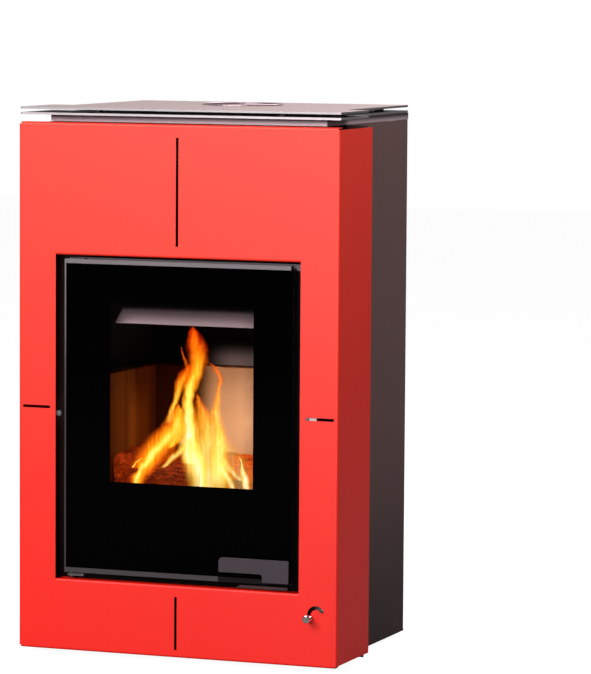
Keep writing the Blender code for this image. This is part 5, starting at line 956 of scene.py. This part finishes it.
def add_floor():
    """A pale floor, lifted to white for the camera so that only the stove's own shadow shows on it."""
    bm = bmesh.new()
    bmesh.ops.create_grid(bm, x_segments=1, y_segments=1, size=14.0)
    mesh = bpy.data.meshes.new("studio_floor")
    bm.to_mesh(mesh)
    bm.free()
    floor = bpy.data.objects.new("studio_floor", mesh)
    floor.location = (0.0, 0.0, -0.0005)
    bpy.context.scene.collection.objects.link(floor)
    made = Finish("studio_floor", (0.20, 0.20, 0.20), 1.0, Specular_IOR_Level=0.0)
    seen = made.node("ShaderNodeLightPath")
    made.put("Emission Color", (1.0, 1.0, 1.0, 1.0))
    made.put("Emission Strength", seen * 0.95)
    mesh.materials.append(made.material)


def light_studio():
    """Plain soft light from the front left, and a pale wall behind on the left."""
    world = bpy.data.worlds.new("studio")
    bpy.context.scene.world = world
    world.use_nodes = True
    tree = world.node_tree
    background = tree.nodes["Background"]
    background.inputs["Color"].default_value = (1.0, 1.0, 1.0, 1.0)
    path = tree.nodes.new("ShaderNodeLightPath")
    direction = tree.nodes.new("ShaderNodeTexCoord")
    parts = tree.nodes.new("ShaderNodeSeparateXYZ")
    tree.links.new(direction.outputs["Generated"], parts.inputs[0])
    leftward = tree.nodes.new("ShaderNodeMath")
    leftward.operation = "MULTIPLY_ADD"
    leftward.inputs[1].default_value = -0.9
    tree.links.new(parts.outputs["X"], leftward.inputs[0])
    tree.links.new(parts.outputs["Y"], leftward.inputs[2])
    wall = tree.nodes.new("ShaderNodeMapRange")
    wall.interpolation_type = "SMOOTHSTEP"
    for socket, value in zip(("From Min", "From Max", "To Min", "To Max"), (0.60, 1.15, 0.06, 0.64)):
        wall.inputs[socket].default_value = value
    tree.links.new(leftward.outputs[0], wall.inputs["Value"])
    strength = tree.nodes.new("ShaderNodeMix")
    strength.data_type = "FLOAT"
    tree.links.new(wall.outputs["Result"], strength.inputs[2])
    strength.inputs[3].default_value = 1.0
    tree.links.new(path.outputs["Is Camera Ray"], strength.inputs[0])
    tree.links.new(strength.outputs[0], background.inputs["Strength"])
    add_soft_light("key_softbox", (-1.6, -3.6, 2.7), (0.0, 0.0, 0.55), (2.2, 2.2), 150.0)
    add_soft_light("front_softbox", (0.4, -4.6, 1.2), (0.0, 0.0, 0.5), (2.4, 1.8), 82.0)
    add_soft_light("side_softbox", (1.5, -0.3, 2.1), (0.25, 0.0, 0.8), (0.7, 0.7), 14.0)
    add_soft_light("top_softbox", (0.3, 0.6, 3.4), (0.0, 0.0, 0.9), (2.0, 2.0), 28.0)
    add_soft_light("rear_softbox", (0.6, 2.6, 3.6), (0.0, 0.0, 0.5), (2.0, 2.0), 85.0)
    add_fire_light()


def add_fire_light():
    """The glow that the flames throw on the bricks, mostly towards the back and the right."""
    data = bpy.data.lights.new("fire_glow", "POINT")
    data.energy = 0.82
    data.color = (1.0, 0.74, 0.52)
    data.shadow_soft_size = 0.03
    light = bpy.data.objects.new("fire_glow", data)
    light.location = stove(0.065, 0.145, 0.405)
    light.visible_camera = False
    bpy.context.scene.collection.objects.link(light)


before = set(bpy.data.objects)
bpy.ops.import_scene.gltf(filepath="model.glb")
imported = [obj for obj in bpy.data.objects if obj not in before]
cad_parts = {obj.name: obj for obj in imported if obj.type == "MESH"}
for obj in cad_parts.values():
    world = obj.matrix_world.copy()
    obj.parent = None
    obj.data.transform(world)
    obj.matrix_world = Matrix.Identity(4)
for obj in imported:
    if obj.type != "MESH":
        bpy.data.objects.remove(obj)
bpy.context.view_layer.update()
place_camera()
FINISHES = make_finishes()
finish_solids(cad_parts, FINISHES)
rear_screws(FINISHES)
servo_details(FINISHES)
make_fire(FINISHES)
add_floor()
light_studio()
bpy.context.scene.view_settings.view_transform = "Standard"
